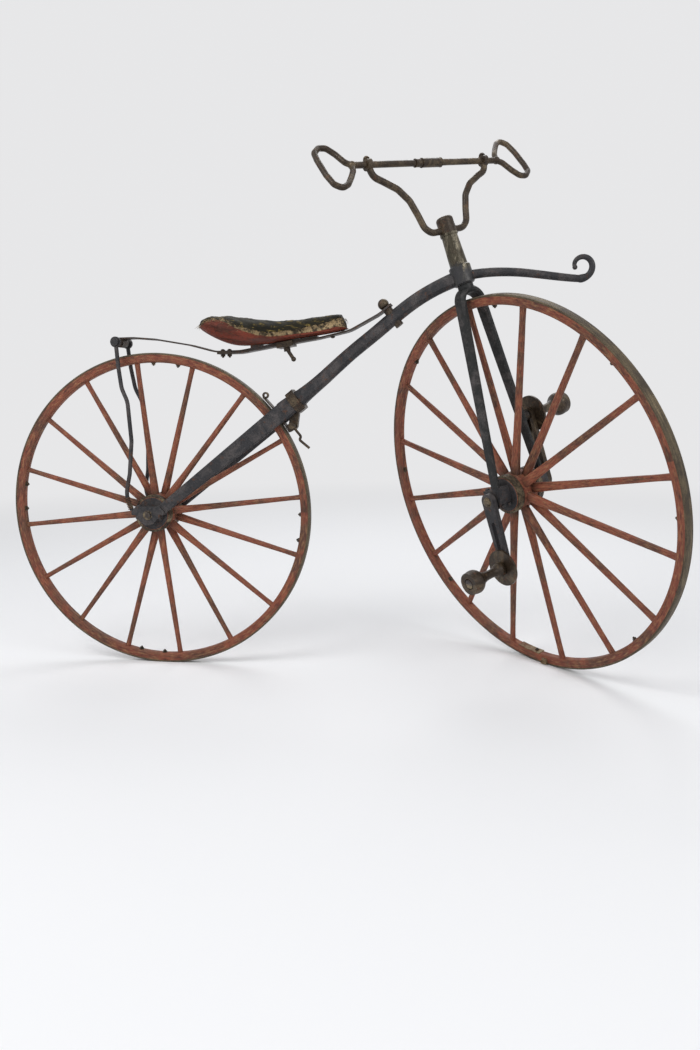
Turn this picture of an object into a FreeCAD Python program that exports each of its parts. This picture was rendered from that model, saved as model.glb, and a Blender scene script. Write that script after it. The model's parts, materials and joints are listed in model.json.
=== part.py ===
"""Boneshaker velocipede: wooden wheels with iron tyres, a forged iron backbone, a fork turned by a
lyre handlebar bracket, and cranks with spool pedals on the front axle.

The vehicle's frame: +X forward, +Y to its left, +Z up. While it is modelled, zero is the middle of the
rear axle; each piece is moved at the end so that zero is the place where the rider sits. The steered
pieces are modelled in the steering frame (X forward, Y left, Z up the steering axis) and then turned
into place, because the vehicle is parked with its front wheel turned to the right.
"""
import FreeCAD
import Part
import math
import os

from FreeCAD import Placement, Rotation, Vector

# Wheels
REAR_WHEEL_RADIUS = 396.0
FRONT_WHEEL_RADIUS = 457.0
TYRE_WIDTH = 22.0
TYRE_THICKNESS = 4.5
FELLOE_DEPTH = 19.0
FELLOE_WIDTH = 21.0
FELLOE_ROUNDING = 3.5
SPOKE_COUNT = 16
SPOKE_RIM_WIDTH = 14.0
SPOKE_RIM_THICKNESS = 12.0
SPOKE_WAIST_WIDTH = 16.5
SPOKE_WAIST_THICKNESS = 14.0
SPOKE_WAIST_SHARE = 0.45
SPOKE_ROOT_THICKNESS = 16.0
REAR_SPOKE_ROOT_WIDTH = 20.0
FRONT_SPOKE_ROOT_WIDTH = 24.0
SPOKE_STAGGER = 9.0
SPOKE_SEAT = 6.0
REAR_SPOKE_PHASE = 5.65
FRONT_SPOKE_PHASE = 18.35

# Naves and axles
NAVE_RADIUS = 46.0
NAVE_END_RADIUS = 41.0
NAVE_RECESS_RADIUS = 31.0
NAVE_RECESS_DEPTH = 5.0
NAVE_HALF_LENGTH = 42.0
NAVE_CROWN_HALF_LENGTH = 22.0
BAND_THICKNESS = 5.5
BAND_WIDTH = 17.0
BAND_INSET = 1.0
AXLE_RADIUS = 12.0
RUNNING_CLEARANCE = 0.08
SEAT_CLEARANCE = 0.05
RACE_GAP = 0.3
OVERRUN = 60.0

# Stance: where the front axle and the steering axis are
WHEEL_GAP = 29.0
AXIS_RAKE = 18.0
AXLE_TRAIL = 44.0
PARKED_STEER = -47.5

# Backbone, head and leg rest
CROTCH_GAP = 22.0
CROTCH_ANGLE = 36.05
CROTCH_WIDTH = 50.0
CROTCH_HEIGHT = 45.0
BACKBONE_WIDTH = 27.0
BACKBONE_HEIGHT = 31.0
BAR_BEVEL_SHARE = 0.3
BLOCK_BEVEL_SHARE = 0.1
HEAD_RISE = 32.0
HEAD_LENGTH = 119.0
HEAD_LOW_RADIUS = 22.0
HEAD_TOP_RADIUS = 18.0
HEAD_COLLAR = 5.0
BOSS_RADIUS = 25.0
BOSS_HEIGHT = 44.0
BACKBONE_HEAD_RISE = 18.0
STEM_RADIUS = 11.0
LEG_REST_REACH = 296.0
LEG_REST_ROOT_HEIGHT = 22.0
LEG_REST_TIP_HEIGHT = 9.0
LEG_REST_ROOT_WIDTH = 20.0
LEG_REST_TIP_WIDTH = 8.0
SCROLL_RADIUS = 27.0
SCROLL_END_RADIUS = 5.5

# Rear fork
ARM_THICKNESS = 9.0
ARM_ROOT_HEIGHT = 42.0
ARM_TIP_HEIGHT = 25.0
ARM_ROOT_SPREAD = 20.0
ARM_TIP_SPREAD = 62.0
ARM_TIP_X = 24.0
ARM_TIP_Z = 5.0
BEARING_LENGTH = 84.0
BEARING_HEIGHT = 20.0
BEARING_DROP = 25.0
BEARING_CAP_LENGTH = 62.0
BEARING_WIDTH = 27.0
BEARING_GAP = 3.0
BEARING_EAR = 10.0
REAR_AXLE_END = 6.0
REAR_AXLE_END_RADIUS = 9.0

# Saddle stays and the cross bolt that carries the rear spring
STAY_RADIUS = 5.0
STAY_BEND = 60.0
STAY_EYE_RADIUS = 13.0
STAY_EYE_WIDTH = 7.0
STAY_TOP_SPREAD = 32.0
CROSS_BOLT_RADIUS = 8.0
CROSS_BOLT_HEAD_RADIUS = 10.0
CROSS_BOLT_HEAD = 6.0
CROSS_BOLT_X = -75.0
CROSS_BOLT_RISE = 27.0

# Springs
SPRING_WIDTH = 30.0
SPRING_THICKNESS = 4.0
SPRING_BEND = 90.0
SPRING_LAP_X = 196.0
SPRING_LAP_DROP = 7.0
SPRING_LAP = 36.0
SPRING_RUN = 22.0
SEAT_BOLT_RADIUS = 6.0
SEAT_BOLT_KNOB_RADIUS = 13.0
SEAT_BOLT_KNOB_SHARE = 0.8
SEAT_BOLT_BASE_RADIUS = 11.0
SEAT_BOLT_NUT_RADIUS = 10.0
SEAT_BOLT_NUT = 8.0
SEAT_BOLT_REACH = 27.0
SEAT_FLAT = 20.0
SEAT_BOLT_SHARE = 0.655
STRAP_THICKNESS = 4.0
STRAP_GAP = 1.7
STRAP_WIDTH = 26.0
CLAMP_LENGTH = 40.0
CLAMP_WALL = 5.0
CLAMP_PLACE_SHARE = 0.3
WING_STEM_RADIUS = 8.0
WING_STEM = 9.0
WING_ROD_RADIUS = 4.5
WING_LENGTH = 24.0
WING_RADIUS = 6.0
WING_SLANT = 30.0

# Saddle
SADDLE_HALF_WIDTH = 84.0
SADDLE_HEIGHT = 72.0
SADDLE_RISE = 8.25
SOFT_CLEARANCE = 0.4
RIDER_SHARE = 0.48

# Brake
SHOE_CLEARANCE = 5.0
SHOE_THICKNESS = 3.0
SHOE_WIDTH = 20.0
SHOE_TOP_ANGLE = 44.4
SHOE_LOW_ANGLE = 30.5
BRAKE_EYE_RADIUS = 8.0
BRAKE_EYE_BORE = 3.6
BRAKE_EYE_WIDTH = 6.0
BRAKE_COLLAR_SHARE = 0.075
BRAKE_COLLAR_LENGTH = 22.0
BRAKE_COLLAR_WALL = 5.0
BRAKE_LUG_WIDTH = 14.0
BRAKE_LUG_RADIUS = 11.0
BRAKE_PIVOT_RISE = 15.5
BRAKE_PIVOT_RADIUS = 4.5
BRAKE_PIVOT_HEAD_RADIUS = 8.0
BRAKE_PIVOT_HEAD = 5.0
BRAKE_CHEEK_RADIUS = 9.0
BRAKE_ROD_RADIUS = 3.2
BRAKE_ROD_BEND = 7.0
BRAKE_ROD_REACH = 68.0

# Front fork, in the steering frame
CROWN_RADIUS = 30.0
CROWN_THICKNESS = 15.0
CROWN_DEPTH = 32.0
CROWN_DROP = 11.0
BLADE_FOOT = 24.0
BLADE_FOOT_SPREAD = 73.0
BLADE_FOOT_FORWARD = -32.0
BLADE_FOOT_DEPTH = 24.0
BLADE_FOOT_THICKNESS = 11.0
FRONT_BEARING_LENGTH = 50.0
FRONT_BEARING_DROP = 25.0
FRONT_BEARING_WIDTH = 36.0

# Cranks and pedals
CRANK_GAP = 6.0
CRANK_THICKNESS = 12.0
CRANK_THROW = 160.0
CRANK_BOSS_RADIUS = 19.0
CRANK_TIP_RADIUS = 15.0
CRANK_SLOT_START = 56.0
LEFT_CRANK_ANGLE = 85.0
PEDAL_PIN_RADIUS = 6.0
PEDAL_PIN_HEAD_RADIUS = 11.0
PEDAL_PIN_HEAD = 6.0
PEDAL_GAP = 2.0
PEDAL_LENGTH = 112.0
PEDAL_DISC_RADIUS = 44.0
PEDAL_DISC_THICKNESS = 5.0
PEDAL_BEAD_RADIUS = 17.0
PEDAL_NECK_RADIUS = 10.5
PEDAL_END_RADIUS = 28.0
PEDAL_NUT_RADIUS = 11.0
PEDAL_NUT = 6.0
PEDAL_NUT_RECESS = 13.0

# Handlebar bracket and handlebar
BRACKET_RING_RADIUS = 20.0
BRACKET_RING_HEIGHT = 16.0
BRACKET_ROD_RADIUS = 7.5
BRACKET_BEND = 24.0
BRACKET_EYE_SPREAD = 165.0
BRACKET_EYE_HEIGHT = 152.7
BRACKET_EYE_RADIUS = 13.0
BRACKET_EYE_WIDTH = 12.0
BAR_LEAN = 4.5
BAR_RADIUS = 7.0
BAR_FORWARD = 7.0
BAR_HALF_LENGTH = 206.0
GRIP_REACH = 80.0
GRIP_HEIGHT = 138.0
GRIP_TILT = 29.0
GRIP_RADIUS = 6.5
GRIP_BEND = 12.0
GRIP_KNOT_RADIUS = 9.0
SLEEVE_RADIUS = 10.0
SLEEVE_LENGTH = 56.0
SLEEVE_NECK_RADIUS = 8.8
SLEEVE_NECK = 18.0
SLEEVE_OFFSET = 8.0
CAP_RADIUS = 19.5
CAP_HEIGHT = 22.0
CAP_DOME = 8.0
STEM_IN_CAP_SHARE = 0.6

# Shares of the sizes that these outlines follow
BACKBONE_PATH_SHARES = ((0.0, 0.0), (0.10, 0.112), (0.211, 0.235), (0.377, 0.435), (0.545, 0.618),
                        (0.655, 0.742), (0.762, 0.848), (0.869, 0.929), (1.0, 1.0))
BACKBONE_SIZE_SHARES = ((0.0, 1.0, 1.0), (0.04, 0.86, 0.88), (0.09, 0.5, 0.55), (0.15, 0.15, 0.25),
                        (0.22, 0.03, 0.12), (0.32, 0.0, 0.05), (0.43, 0.0, 0.0), (0.54, 0.0, 0.0),
                        (0.65, 0.0, 0.0), (0.76, 0.0, 0.0), (0.86, 0.0, 0.0), (0.93, 0.03, 0.05),
                        (0.985, 0.1, 0.12))
LEG_REST_PATH_SHARES = ((0.0, 0.0), (0.11, 0.018), (0.235, 0.024), (0.42, 0.014), (0.60, -0.012),
                        (0.76, -0.038), (0.865, -0.052))
PAN_EDGE_SHARE = 0.75
SADDLE_TAIL_SHARE = -0.0963
SADDLE_NOSE_SHARE = 0.7494
SADDLE_STATION_SHARES = (0.0, 0.03, 0.10, 0.22, 0.36, 0.52, 0.68, 0.84, 0.965, 1.0)
SADDLE_WIDTH_SHARES = (0.22, 0.52, 0.88, 1.0, 0.92, 0.66, 0.46, 0.38, 0.34, 0.26)
PAN_LOW_SHARES = (0.909, 0.768, 0.518, 0.203, 0.063, -0.001, 0.005, -0.009, 0.002, 0.017)
PAN_TOP_SHARES = (0.969, 0.968, 0.978, 0.753, 0.393, 0.179, 0.125, 0.091, 0.082, 0.067)
CUSHION_TOP_SHARES = (1.049, 1.168, 1.188, 1.093, 0.893, 0.679, 0.575, 0.551, 0.502, 0.377)
SCROLL_SHARES = ((-55.0, 1.0), (-20.0, 0.97), (20.0, 0.90), (60.0, 0.80), (100.0, 0.68), (145.0, 0.55),
                 (190.0, 0.44))
STAY_PATH_SHARES = ((0.0, 0.0, 0.0), (0.15, 0.12, 0.10), (0.28, 0.27, 0.27), (0.36, 0.40, 0.62),
                    (0.60, 0.66, 0.80), (0.80, 0.86, 0.62), (0.93, 0.97, 0.34))
REAR_SPRING_SHARES = ((0.0, 0.0), (0.13, 0.0), (0.33, 0.14), (0.64, 0.56), (0.86, 1.0), (1.0, 1.0))
MAIN_SPRING_SHARES = ((0.33, 0.13), (0.60, 0.30), (0.79, 0.47))
BRAKE_ROD_SHARES = ((0.0, 0.0), (0.31, 0.39), (0.24, 0.50), (0.60, 0.80))
BLADE_SHARES = ((0.0, 0.0), (0.35, 0.30), (0.75, 0.75), (1.0, 1.0))
PEDAL_WAIST_SHARES = ((0.0, 0.45), (0.05, 0.90), (0.11, 1.0), (0.17, 0.75), (0.25, 0.20))
PEDAL_FLARE_SHARES = ((0.38, 0.0), (0.52, 0.06), (0.64, 0.34), (0.72, 0.74), (0.79, 0.98), (0.88, 1.0),
                      (1.0, 0.90))
BRACKET_SHARES = ((0.07, 0.0), (0.285, 0.0), (0.382, 0.085), (0.43, 0.275), (0.497, 0.484), (0.636, 0.654),
                  (0.836, 0.771), (0.97, 0.84), (1.0, 1.0))
GRIP_SHARES = ((0.0, 0.0), (0.1, 0.14), (0.29, 0.28), (0.54, 0.44), (0.78, 0.51), (0.96, 0.42), (1.0, 0.20),
               (0.98, 0.03), (0.96, -0.14), (0.90, -0.31), (0.66, -0.43), (0.43, -0.42), (0.28, -0.27),
               (0.16, -0.07), (0.0, 0.0))
PATH_REACH_SHARE = 0.48
STRAIGHT_ANGLE = 0.2

# Places that follow from these sizes
WHEELBASE = REAR_WHEEL_RADIUS + FRONT_WHEEL_RADIUS + WHEEL_GAP
CROTCH_X = (REAR_WHEEL_RADIUS + CROTCH_GAP) * math.cos(math.radians(CROTCH_ANGLE))
CROTCH_Z = (REAR_WHEEL_RADIUS + CROTCH_GAP) * math.sin(math.radians(CROTCH_ANGLE))
CROWN_CENTRE = FRONT_WHEEL_RADIUS - CROWN_DROP
HEAD_LOW = FRONT_WHEEL_RADIUS + HEAD_RISE
HEAD_TOP = HEAD_LOW + HEAD_LENGTH
CROSS_BOLT_Z = REAR_WHEEL_RADIUS + CROSS_BOLT_RISE
SPRING_LAP_Z = REAR_WHEEL_RADIUS - SPRING_LAP_DROP
BRAKE_PIVOT_REACH = REAR_WHEEL_RADIUS + SHOE_CLEARANCE + SHOE_THICKNESS / 2.0 + BRAKE_PIVOT_RISE

SIDE = Vector(0.0, 1.0, 0.0)
UP = Vector(0.0, 0.0, 1.0)


def vector_along(angle, length):
    """A vector in the XZ plane, its angle in degrees from +X towards +Z."""
    turn = math.radians(angle)
    return Vector(length * math.cos(turn), 0.0, length * math.sin(turn))


def angle_of(ahead):
    """The angle in degrees of a direction in the XZ plane, from +X towards +Z."""
    return math.degrees(math.atan2(ahead.z, ahead.x))


def over(ahead):
    """The direction in the XZ plane that is square to ahead and points up from it."""
    return ahead.cross(SIDE).normalize()


def along_x_to(point, ahead):
    """The placement of a piece modelled along +X about zero, at a point and direction in the XZ plane."""
    return Placement(point, Rotation(SIDE, -angle_of(ahead)))


def placed(shape, placement):
    """A copy of a shape, moved by a placement."""
    moved = shape.copy()
    moved.transformShape(placement.toMatrix())
    return moved


def mirrored(shape):
    """The same piece on the other side of the XZ plane."""
    return shape.mirror(Vector(), SIDE)


def cylinder(radius, start, end):
    """A cylinder between two points."""
    return Part.makeCylinder(radius, (end - start).Length, start, end - start)


def hole(radius, place, axis):
    """A cylinder to cut a through hole with, centred on a place."""
    return cylinder(radius, place - axis * OVERRUN, place + axis * OVERRUN)


def box(x_range, y_range, z_range):
    """A box between three pairs of limits."""
    corner = Vector(x_range[0], y_range[0], z_range[0])
    return Part.makeBox(x_range[1] - x_range[0], y_range[1] - y_range[0], z_range[1] - z_range[0], corner)


def shared_path(start, span, shares):
    """Points in the XZ plane at shares of a span, measured from its start."""
    return [start + Vector(span.x * along, 0.0, span.z * up) for along, up in shares]


def rounded_path(points, bend):
    """A wire of straight runs joined by tangent arcs of radius bend, less where the runs are short."""
    edges = []
    start = points[0]
    for before, corner, after in zip(points, points[1:], points[2:]):
        back = (before - corner).normalize()
        ahead = (after - corner).normalize()
        opening = back.getAngle(ahead)
        if math.degrees(math.pi - opening) < STRAIGHT_ANGLE:
            continue
        reach = min((corner - before).Length, (after - corner).Length) * PATH_REACH_SHARE
        radius = min(bend, reach * math.tan(opening / 2.0))
        trim = radius / math.tan(opening / 2.0)
        middle = (back + ahead).normalize()
        centre = corner + middle * (radius / math.sin(opening / 2.0))
        first, last = corner + back * trim, corner + ahead * trim
        edges.append(Part.makeLine(start, first))
        edges.append(Part.Arc(first, centre - middle * radius, last).toShape())
        start = last
    edges.append(Part.makeLine(start, points[-1]))
    return Part.Wire(edges)


def rod(points, bend, radius):
    """A round bar that follows the points with rounded bends."""
    path = rounded_path(points, bend)
    circle = Part.Wire(Part.makeCircle(radius, points[0], points[1] - points[0]))
    return path.makePipeShell([circle], True, False)


def strap(points, bend, width, thickness):
    """A flat bar in the XZ plane: the points are its middle line, and its width lies along Y."""
    path = rounded_path(points, bend)
    up = over(points[1] - points[0]) * (thickness / 2.0)
    side = SIDE * (width / 2.0)
    corners = [points[0] + up + side, points[0] + up - side, points[0] - up - side, points[0] - up + side]
    sweep = Part.BRepOffsetAPI.MakePipeShell(path)
    sweep.setBiNormalMode(SIDE)
    sweep.add(Part.makePolygon(corners + corners[:1]))
    sweep.build()
    sweep.makeSolid()
    return sweep.shape()


def octagon(centre, across, up, width, height, bevel_share=BAR_BEVEL_SHARE):
    """A bevelled rectangle about a centre, its width along across and its height along up."""
    bevel = min(width, height) * bevel_share
    wide, tall = width / 2.0, height / 2.0
    outline = ((wide, tall - bevel), (wide - bevel, tall), (bevel - wide, tall), (-wide, tall - bevel),
               (-wide, bevel - tall), (bevel - wide, -tall), (wide - bevel, -tall), (wide, bevel - tall))
    corners = [centre + across * y + up * z for y, z in outline]
    return Part.makePolygon(corners + corners[:1])


def oval(centre, across, up, width, height):
    """An oval about a centre, its width along across and its height along up."""
    side, tall = centre + across * (width / 2.0), centre + up * (height / 2.0)
    ellipse = Part.Ellipse(tall, side, centre) if height >= width else Part.Ellipse(side, tall, centre)
    return Part.Wire(ellipse.toShape())


def directions(points):
    """The direction of a row of points at each of them."""
    ends = [points[0] - (points[1] - points[0])] + list(points) + [points[-1] + (points[-1] - points[-2])]
    return [(after - before).normalize() for before, after in zip(ends, ends[2:])]


def turned(profile):
    """A solid of revolution about the Y axis from (place along Y, radius) pairs."""
    corners = [Vector(radius, place, 0.0) for place, radius in profile]
    face = Part.Face(Part.makePolygon(corners + corners[:1]))
    return face.revolve(Vector(), SIDE, 360.0)


# The wheels, modelled about the Y axis and turned into place afterwards

def tyre(wheel_radius):
    """An iron band shrunk on the felloe, its outer corners worn round."""
    half = TYRE_WIDTH / 2.0
    worn = TYRE_THICKNESS / 3.0
    inner = wheel_radius - TYRE_THICKNESS
    return turned(((-half, inner), (half, inner), (half, wheel_radius - worn), (half - worn, wheel_radius),
                   (worn - half, wheel_radius), (-half, wheel_radius - worn)))


def felloe_inner(wheel_radius):
    """The radius of the felloe's inner face, in which the spokes end."""
    return wheel_radius - TYRE_THICKNESS - FELLOE_DEPTH


def felloe(wheel_radius):
    """The wooden rim, rounded on its inner edges."""
    half = FELLOE_WIDTH / 2.0
    outer = wheel_radius - TYRE_THICKNESS
    inner = felloe_inner(wheel_radius)
    soft = FELLOE_ROUNDING
    return turned(((-half, outer), (half, outer), (half, inner + soft), (half - soft, inner),
                   (soft - half, inner), (-half, inner + soft)))


def spoke(wheel_radius, root_width, offset):
    """One spoke along +X, slimmest at the rim and swelling towards its root in the nave."""
    root, tip = NAVE_RADIUS - SPOKE_SEAT, felloe_inner(wheel_radius)
    waist = root + (tip - root) * SPOKE_WAIST_SHARE
    places = (Vector(root, offset, 0.0), Vector(waist, offset * (1.0 - SPOKE_WAIST_SHARE), 0.0),
              Vector(tip, 0.0, 0.0))
    thicknesses = (SPOKE_ROOT_THICKNESS, SPOKE_WAIST_THICKNESS, SPOKE_RIM_THICKNESS)
    widths = (root_width, SPOKE_WAIST_WIDTH, SPOKE_RIM_WIDTH)
    sections = [octagon(place, SIDE, UP, thickness, width)
                for place, thickness, width in zip(places, thicknesses, widths)]
    return Part.makeLoft(sections, True, True)


def nave_profile():
    """The outline of the turned nave: a crown for the spokes, necks for the bands, recessed ends."""
    end, crown = NAVE_HALF_LENGTH, NAVE_CROWN_HALF_LENGTH
    floor = end - NAVE_RECESS_DEPTH
    bore = AXLE_RADIUS + SEAT_CLEARANCE
    left = ((floor, bore), (floor, NAVE_RECESS_RADIUS), (end, NAVE_RECESS_RADIUS), (end, NAVE_END_RADIUS),
            (crown, NAVE_END_RADIUS), (crown, NAVE_RADIUS))
    return left + tuple((-place, radius) for place, radius in reversed(left))


def nave():
    """The turned nave."""
    return turned(nave_profile())


def spokes(wheel_radius, root_width, phase):
    """The spokes of a wheel, set in the nave in two staggered rows and ending on the felloe."""
    inner = felloe_inner(wheel_radius)
    rim = hole(wheel_radius, Vector(), SIDE).cut(hole(inner, Vector(), SIDE))
    pieces = []
    for index in range(SPOKE_COUNT):
        piece = spoke(wheel_radius, root_width, SPOKE_STAGGER if index % 2 else -SPOKE_STAGGER)
        piece.rotate(Vector(), SIDE, -phase - index * 360.0 / SPOKE_COUNT)
        pieces.append(piece.cut([rim, nave()]))
    return Part.makeCompound(pieces)


def nave_bands():
    """The two iron bands driven on the ends of the nave."""
    inner, outer = NAVE_END_RADIUS + SEAT_CLEARANCE, NAVE_END_RADIUS + BAND_THICKNESS
    end = NAVE_HALF_LENGTH - BAND_INSET
    left = turned(((end - BAND_WIDTH, inner), (end, inner), (end, outer), (end - BAND_WIDTH, outer)))
    return Part.makeCompound([left, mirrored(left)])


def axle(half_length):
    """An axle along Y."""
    return cylinder(AXLE_RADIUS, SIDE * -half_length, SIDE * half_length)


# Where the steering frame stands

def steered_axle_height():
    """Height of the front axle over the rear one, so that the turned, tilted wheel touches the floor."""
    tilt = math.asin(abs(math.sin(math.radians(PARKED_STEER))) * math.sin(math.radians(AXIS_RAKE)))
    reach = FRONT_WHEEL_RADIUS * math.cos(tilt) + TYRE_WIDTH / 2.0 * math.sin(tilt)
    return reach - REAR_WHEEL_RADIUS


def steering_foot():
    """The point of the steering axis nearest the front axle."""
    rake, steer = math.radians(AXIS_RAKE), math.radians(PARKED_STEER)
    x = WHEELBASE + AXLE_TRAIL * math.cos(rake)
    z = steered_axle_height() + AXLE_TRAIL * math.cos(steer) * math.sin(rake)
    return Vector(x, 0.0, z)


def axis_point(height):
    """A point on the steering axis, by its distance up the axis from the foot."""
    return steering_foot() + vector_along(90.0 + AXIS_RAKE, height)


def steered(shape):
    """A piece of the steering frame in its parked place."""
    turn = Rotation(SIDE, -AXIS_RAKE).multiply(Rotation(Vector(0.0, 0.0, 1.0), PARKED_STEER))
    return placed(shape, Placement(steering_foot(), turn))


def on_front_axle(shape):
    """Moves a piece modelled about the Y axis onto the front axle, in the steering frame."""
    return placed(shape, Placement(Vector(-AXLE_TRAIL, 0.0, 0.0), Rotation()))


# Frame

def backbone_points():
    """The middle line of the backbone, from the rear fork's crotch to the head."""
    start = Vector(CROTCH_X, 0.0, CROTCH_Z)
    return shared_path(start, axis_point(HEAD_LOW + BACKBONE_HEAD_RISE) - start, BACKBONE_PATH_SHARES)


def backbone_place(share):
    """A point and a direction on the backbone's middle line."""
    curve = Part.BSplineCurve()
    curve.interpolate(backbone_points())
    first, last = curve.FirstParameter, curve.LastParameter
    at = first + (last - first) * share
    return curve.value(at), Vector(*curve.tangent(at)[0])


def arm_direction():
    """The direction of the rear fork's arms, seen from the side, towards the crotch."""
    return Vector(CROTCH_X - ARM_TIP_X, 0.0, CROTCH_Z - ARM_TIP_Z).normalize()


def head_solid():
    """The outside of the head socket, with the boss that the backbone is forged into."""
    axis = vector_along(90.0 + AXIS_RAKE, 1.0)
    cone = Part.makeCone(HEAD_LOW_RADIUS, HEAD_TOP_RADIUS, HEAD_TOP - HEAD_LOW, axis_point(HEAD_LOW), axis)
    collar = Part.makeCylinder(HEAD_TOP_RADIUS + HEAD_COLLAR / 2.0, HEAD_COLLAR,
                               axis_point(HEAD_TOP - HEAD_COLLAR), axis)
    boss = Part.makeCylinder(BOSS_RADIUS, BOSS_HEIGHT, axis_point(HEAD_LOW), axis)
    boss = boss.makeChamfer(BOSS_RADIUS - HEAD_LOW_RADIUS, [boss.Edges[0], boss.Edges[2]])
    return cone.fuse([collar, boss]).removeSplitter()


def head_socket():
    """The head: a tapered socket with the running bore for the fork's stem."""
    bore = cylinder(STEM_RADIUS + RUNNING_CLEARANCE, axis_point(HEAD_LOW), axis_point(HEAD_TOP))
    return head_solid().cut(bore)


def backbone_bar():
    """The forged backbone: octagonal, swelling into the block that carries the rear fork."""
    sections = []
    for share, wide, tall in BACKBONE_SIZE_SHARES:
        point, ahead = backbone_place(share)
        up = over(arm_direction() if share == 0.0 else ahead)
        width = BACKBONE_WIDTH + (CROTCH_WIDTH - BACKBONE_WIDTH) * wide
        height = BACKBONE_HEIGHT + (CROTCH_HEIGHT - BACKBONE_HEIGHT) * tall
        bevel_share = BAR_BEVEL_SHARE + (BLOCK_BEVEL_SHARE - BAR_BEVEL_SHARE) * wide
        sections.append(octagon(point, SIDE, up, width, height, bevel_share))
    return Part.makeLoft(sections, True, False).cut(head_solid())


def backbone():
    """The backbone with the hole for the seat bolt."""
    return backbone_bar().cut(hole(SEAT_BOLT_RADIUS + SEAT_CLEARANCE, *seat_bolt_place()))


def leg_rest():
    """The leg rest: a tapering bar forward of the head, ending in an upturned scroll."""
    start = axis_point(HEAD_LOW + BACKBONE_HEAD_RISE)
    points = shared_path(start, Vector(LEG_REST_REACH, 0.0, LEG_REST_REACH), LEG_REST_PATH_SHARES)
    centre = points[-1] + over(points[-1] - points[-2]) * SCROLL_RADIUS
    points += [centre + vector_along(angle, SCROLL_RADIUS * share) for angle, share in SCROLL_SHARES]
    aheads = directions(points)
    aheads[0] = Vector(1.0, 0.0, 0.0)
    sections = []
    for index, (point, ahead) in enumerate(zip(points, aheads)):
        share = index / (len(points) - 1.0)
        width = LEG_REST_ROOT_WIDTH + (LEG_REST_TIP_WIDTH - LEG_REST_ROOT_WIDTH) * share
        height = LEG_REST_ROOT_HEIGHT + (LEG_REST_TIP_HEIGHT - LEG_REST_ROOT_HEIGHT) * share
        sections.append(oval(point, SIDE, over(ahead), width, height))
    bend = len(LEG_REST_PATH_SHARES)
    bar = Part.makeLoft(sections[:bend], True, False).cut(head_solid())
    scroll = Part.makeLoft(sections[bend - 1:], True, False)
    return bar.fuse([scroll, Part.makeSphere(SCROLL_END_RADIUS, points[-1])])


def bearing_inner():
    """The place along Y of the inner face of a bearing, beside the nave."""
    return NAVE_HALF_LENGTH + BEARING_GAP


def running_bore():
    """A cylinder for the running bore of a bearing, about the axle."""
    reach = SIDE * (bearing_inner() + OVERRUN)
    return cylinder(AXLE_RADIUS + RUNNING_CLEARANCE, reach * -1.0, reach)


def rear_bearing_block():
    """The upper half of a rear bearing: the flat end of a fork arm, over the axle."""
    half, outer = BEARING_LENGTH / 2.0, bearing_inner() + BEARING_WIDTH
    bevel = BEARING_HEIGHT / 2.0
    outline = ((-half, 0.0), (half, 0.0), (half, bevel), (half - bevel, BEARING_HEIGHT),
               (bevel - half, BEARING_HEIGHT), (-half, bevel))
    corners = [Vector(x, bearing_inner(), z) for x, z in outline]
    return Part.Face(Part.makePolygon(corners + corners[:1])).extrude(SIDE * (outer - bearing_inner()))


def rear_fork_arm():
    """The left rear fork arm: a flat bar that narrows to the bearing over the axle."""
    crotch = Vector(CROTCH_X, ARM_ROOT_SPREAD, CROTCH_Z)
    tip = Vector(ARM_TIP_X, ARM_TIP_SPREAD, ARM_TIP_Z)
    up = over(arm_direction())
    sections = [octagon(crotch, SIDE, up, ARM_THICKNESS, ARM_ROOT_HEIGHT),
                octagon(tip, SIDE, up, ARM_THICKNESS, ARM_TIP_HEIGHT)]
    bar = Part.makeLoft(sections, True, True)
    below = box((-BEARING_LENGTH, BEARING_LENGTH), (0.0, ARM_TIP_SPREAD * 2.0), (-BEARING_LENGTH, 0.0))
    return bar.fuse(rear_bearing_block()).cut(below).cut(running_bore()).removeSplitter()


def rear_bearing_cap():
    """The lower half of the left rear bearing, bolted up under the arm's end."""
    inner, outer = bearing_inner(), bearing_inner() + BEARING_WIDTH
    half = BEARING_CAP_LENGTH / 2.0
    belly = cylinder(BEARING_DROP, SIDE * inner, SIDE * outer)
    ears = box((-half, half), (inner, outer), (-BEARING_EAR, 0.0))
    above = box((-half, half), (inner, outer), (0.0, BEARING_DROP))
    return belly.fuse(ears).cut(above).cut(running_bore()).removeSplitter()


def stay_points():
    """The left saddle stay, from the cross bolt's eye down to the rear end of the bearing."""
    rise = CROSS_BOLT_Z - BEARING_HEIGHT
    foot = Vector(-BEARING_LENGTH / 2.0 - STAY_RADIUS, ARM_TIP_SPREAD - STAY_RADIUS, BEARING_HEIGHT / 2.0)
    spread = foot.y - STAY_TOP_SPREAD
    points = [Vector(CROSS_BOLT_X + along * (BEARING_LENGTH / 2.0), STAY_TOP_SPREAD + spread * out,
                     CROSS_BOLT_Z - rise * down) for down, out, along in STAY_PATH_SHARES]
    return points + [foot]


def saddle_stay():
    """The left stay: a round rod with an eye on the cross bolt and a foot behind the bearing."""
    points = stay_points()
    centre, half = points[0], SIDE * (STAY_EYE_WIDTH / 2.0)
    eye = cylinder(STAY_EYE_RADIUS, centre - half, centre + half)
    eye = eye.cut(hole(CROSS_BOLT_RADIUS + SEAT_CLEARANCE, centre, SIDE))
    points[0] = centre + (points[1] - centre).normalize() * (CROSS_BOLT_HEAD_RADIUS + 2.0 * RACE_GAP)
    return rod(points, STAY_BEND, STAY_RADIUS).fuse(eye).cut(rear_bearing_block())


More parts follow.
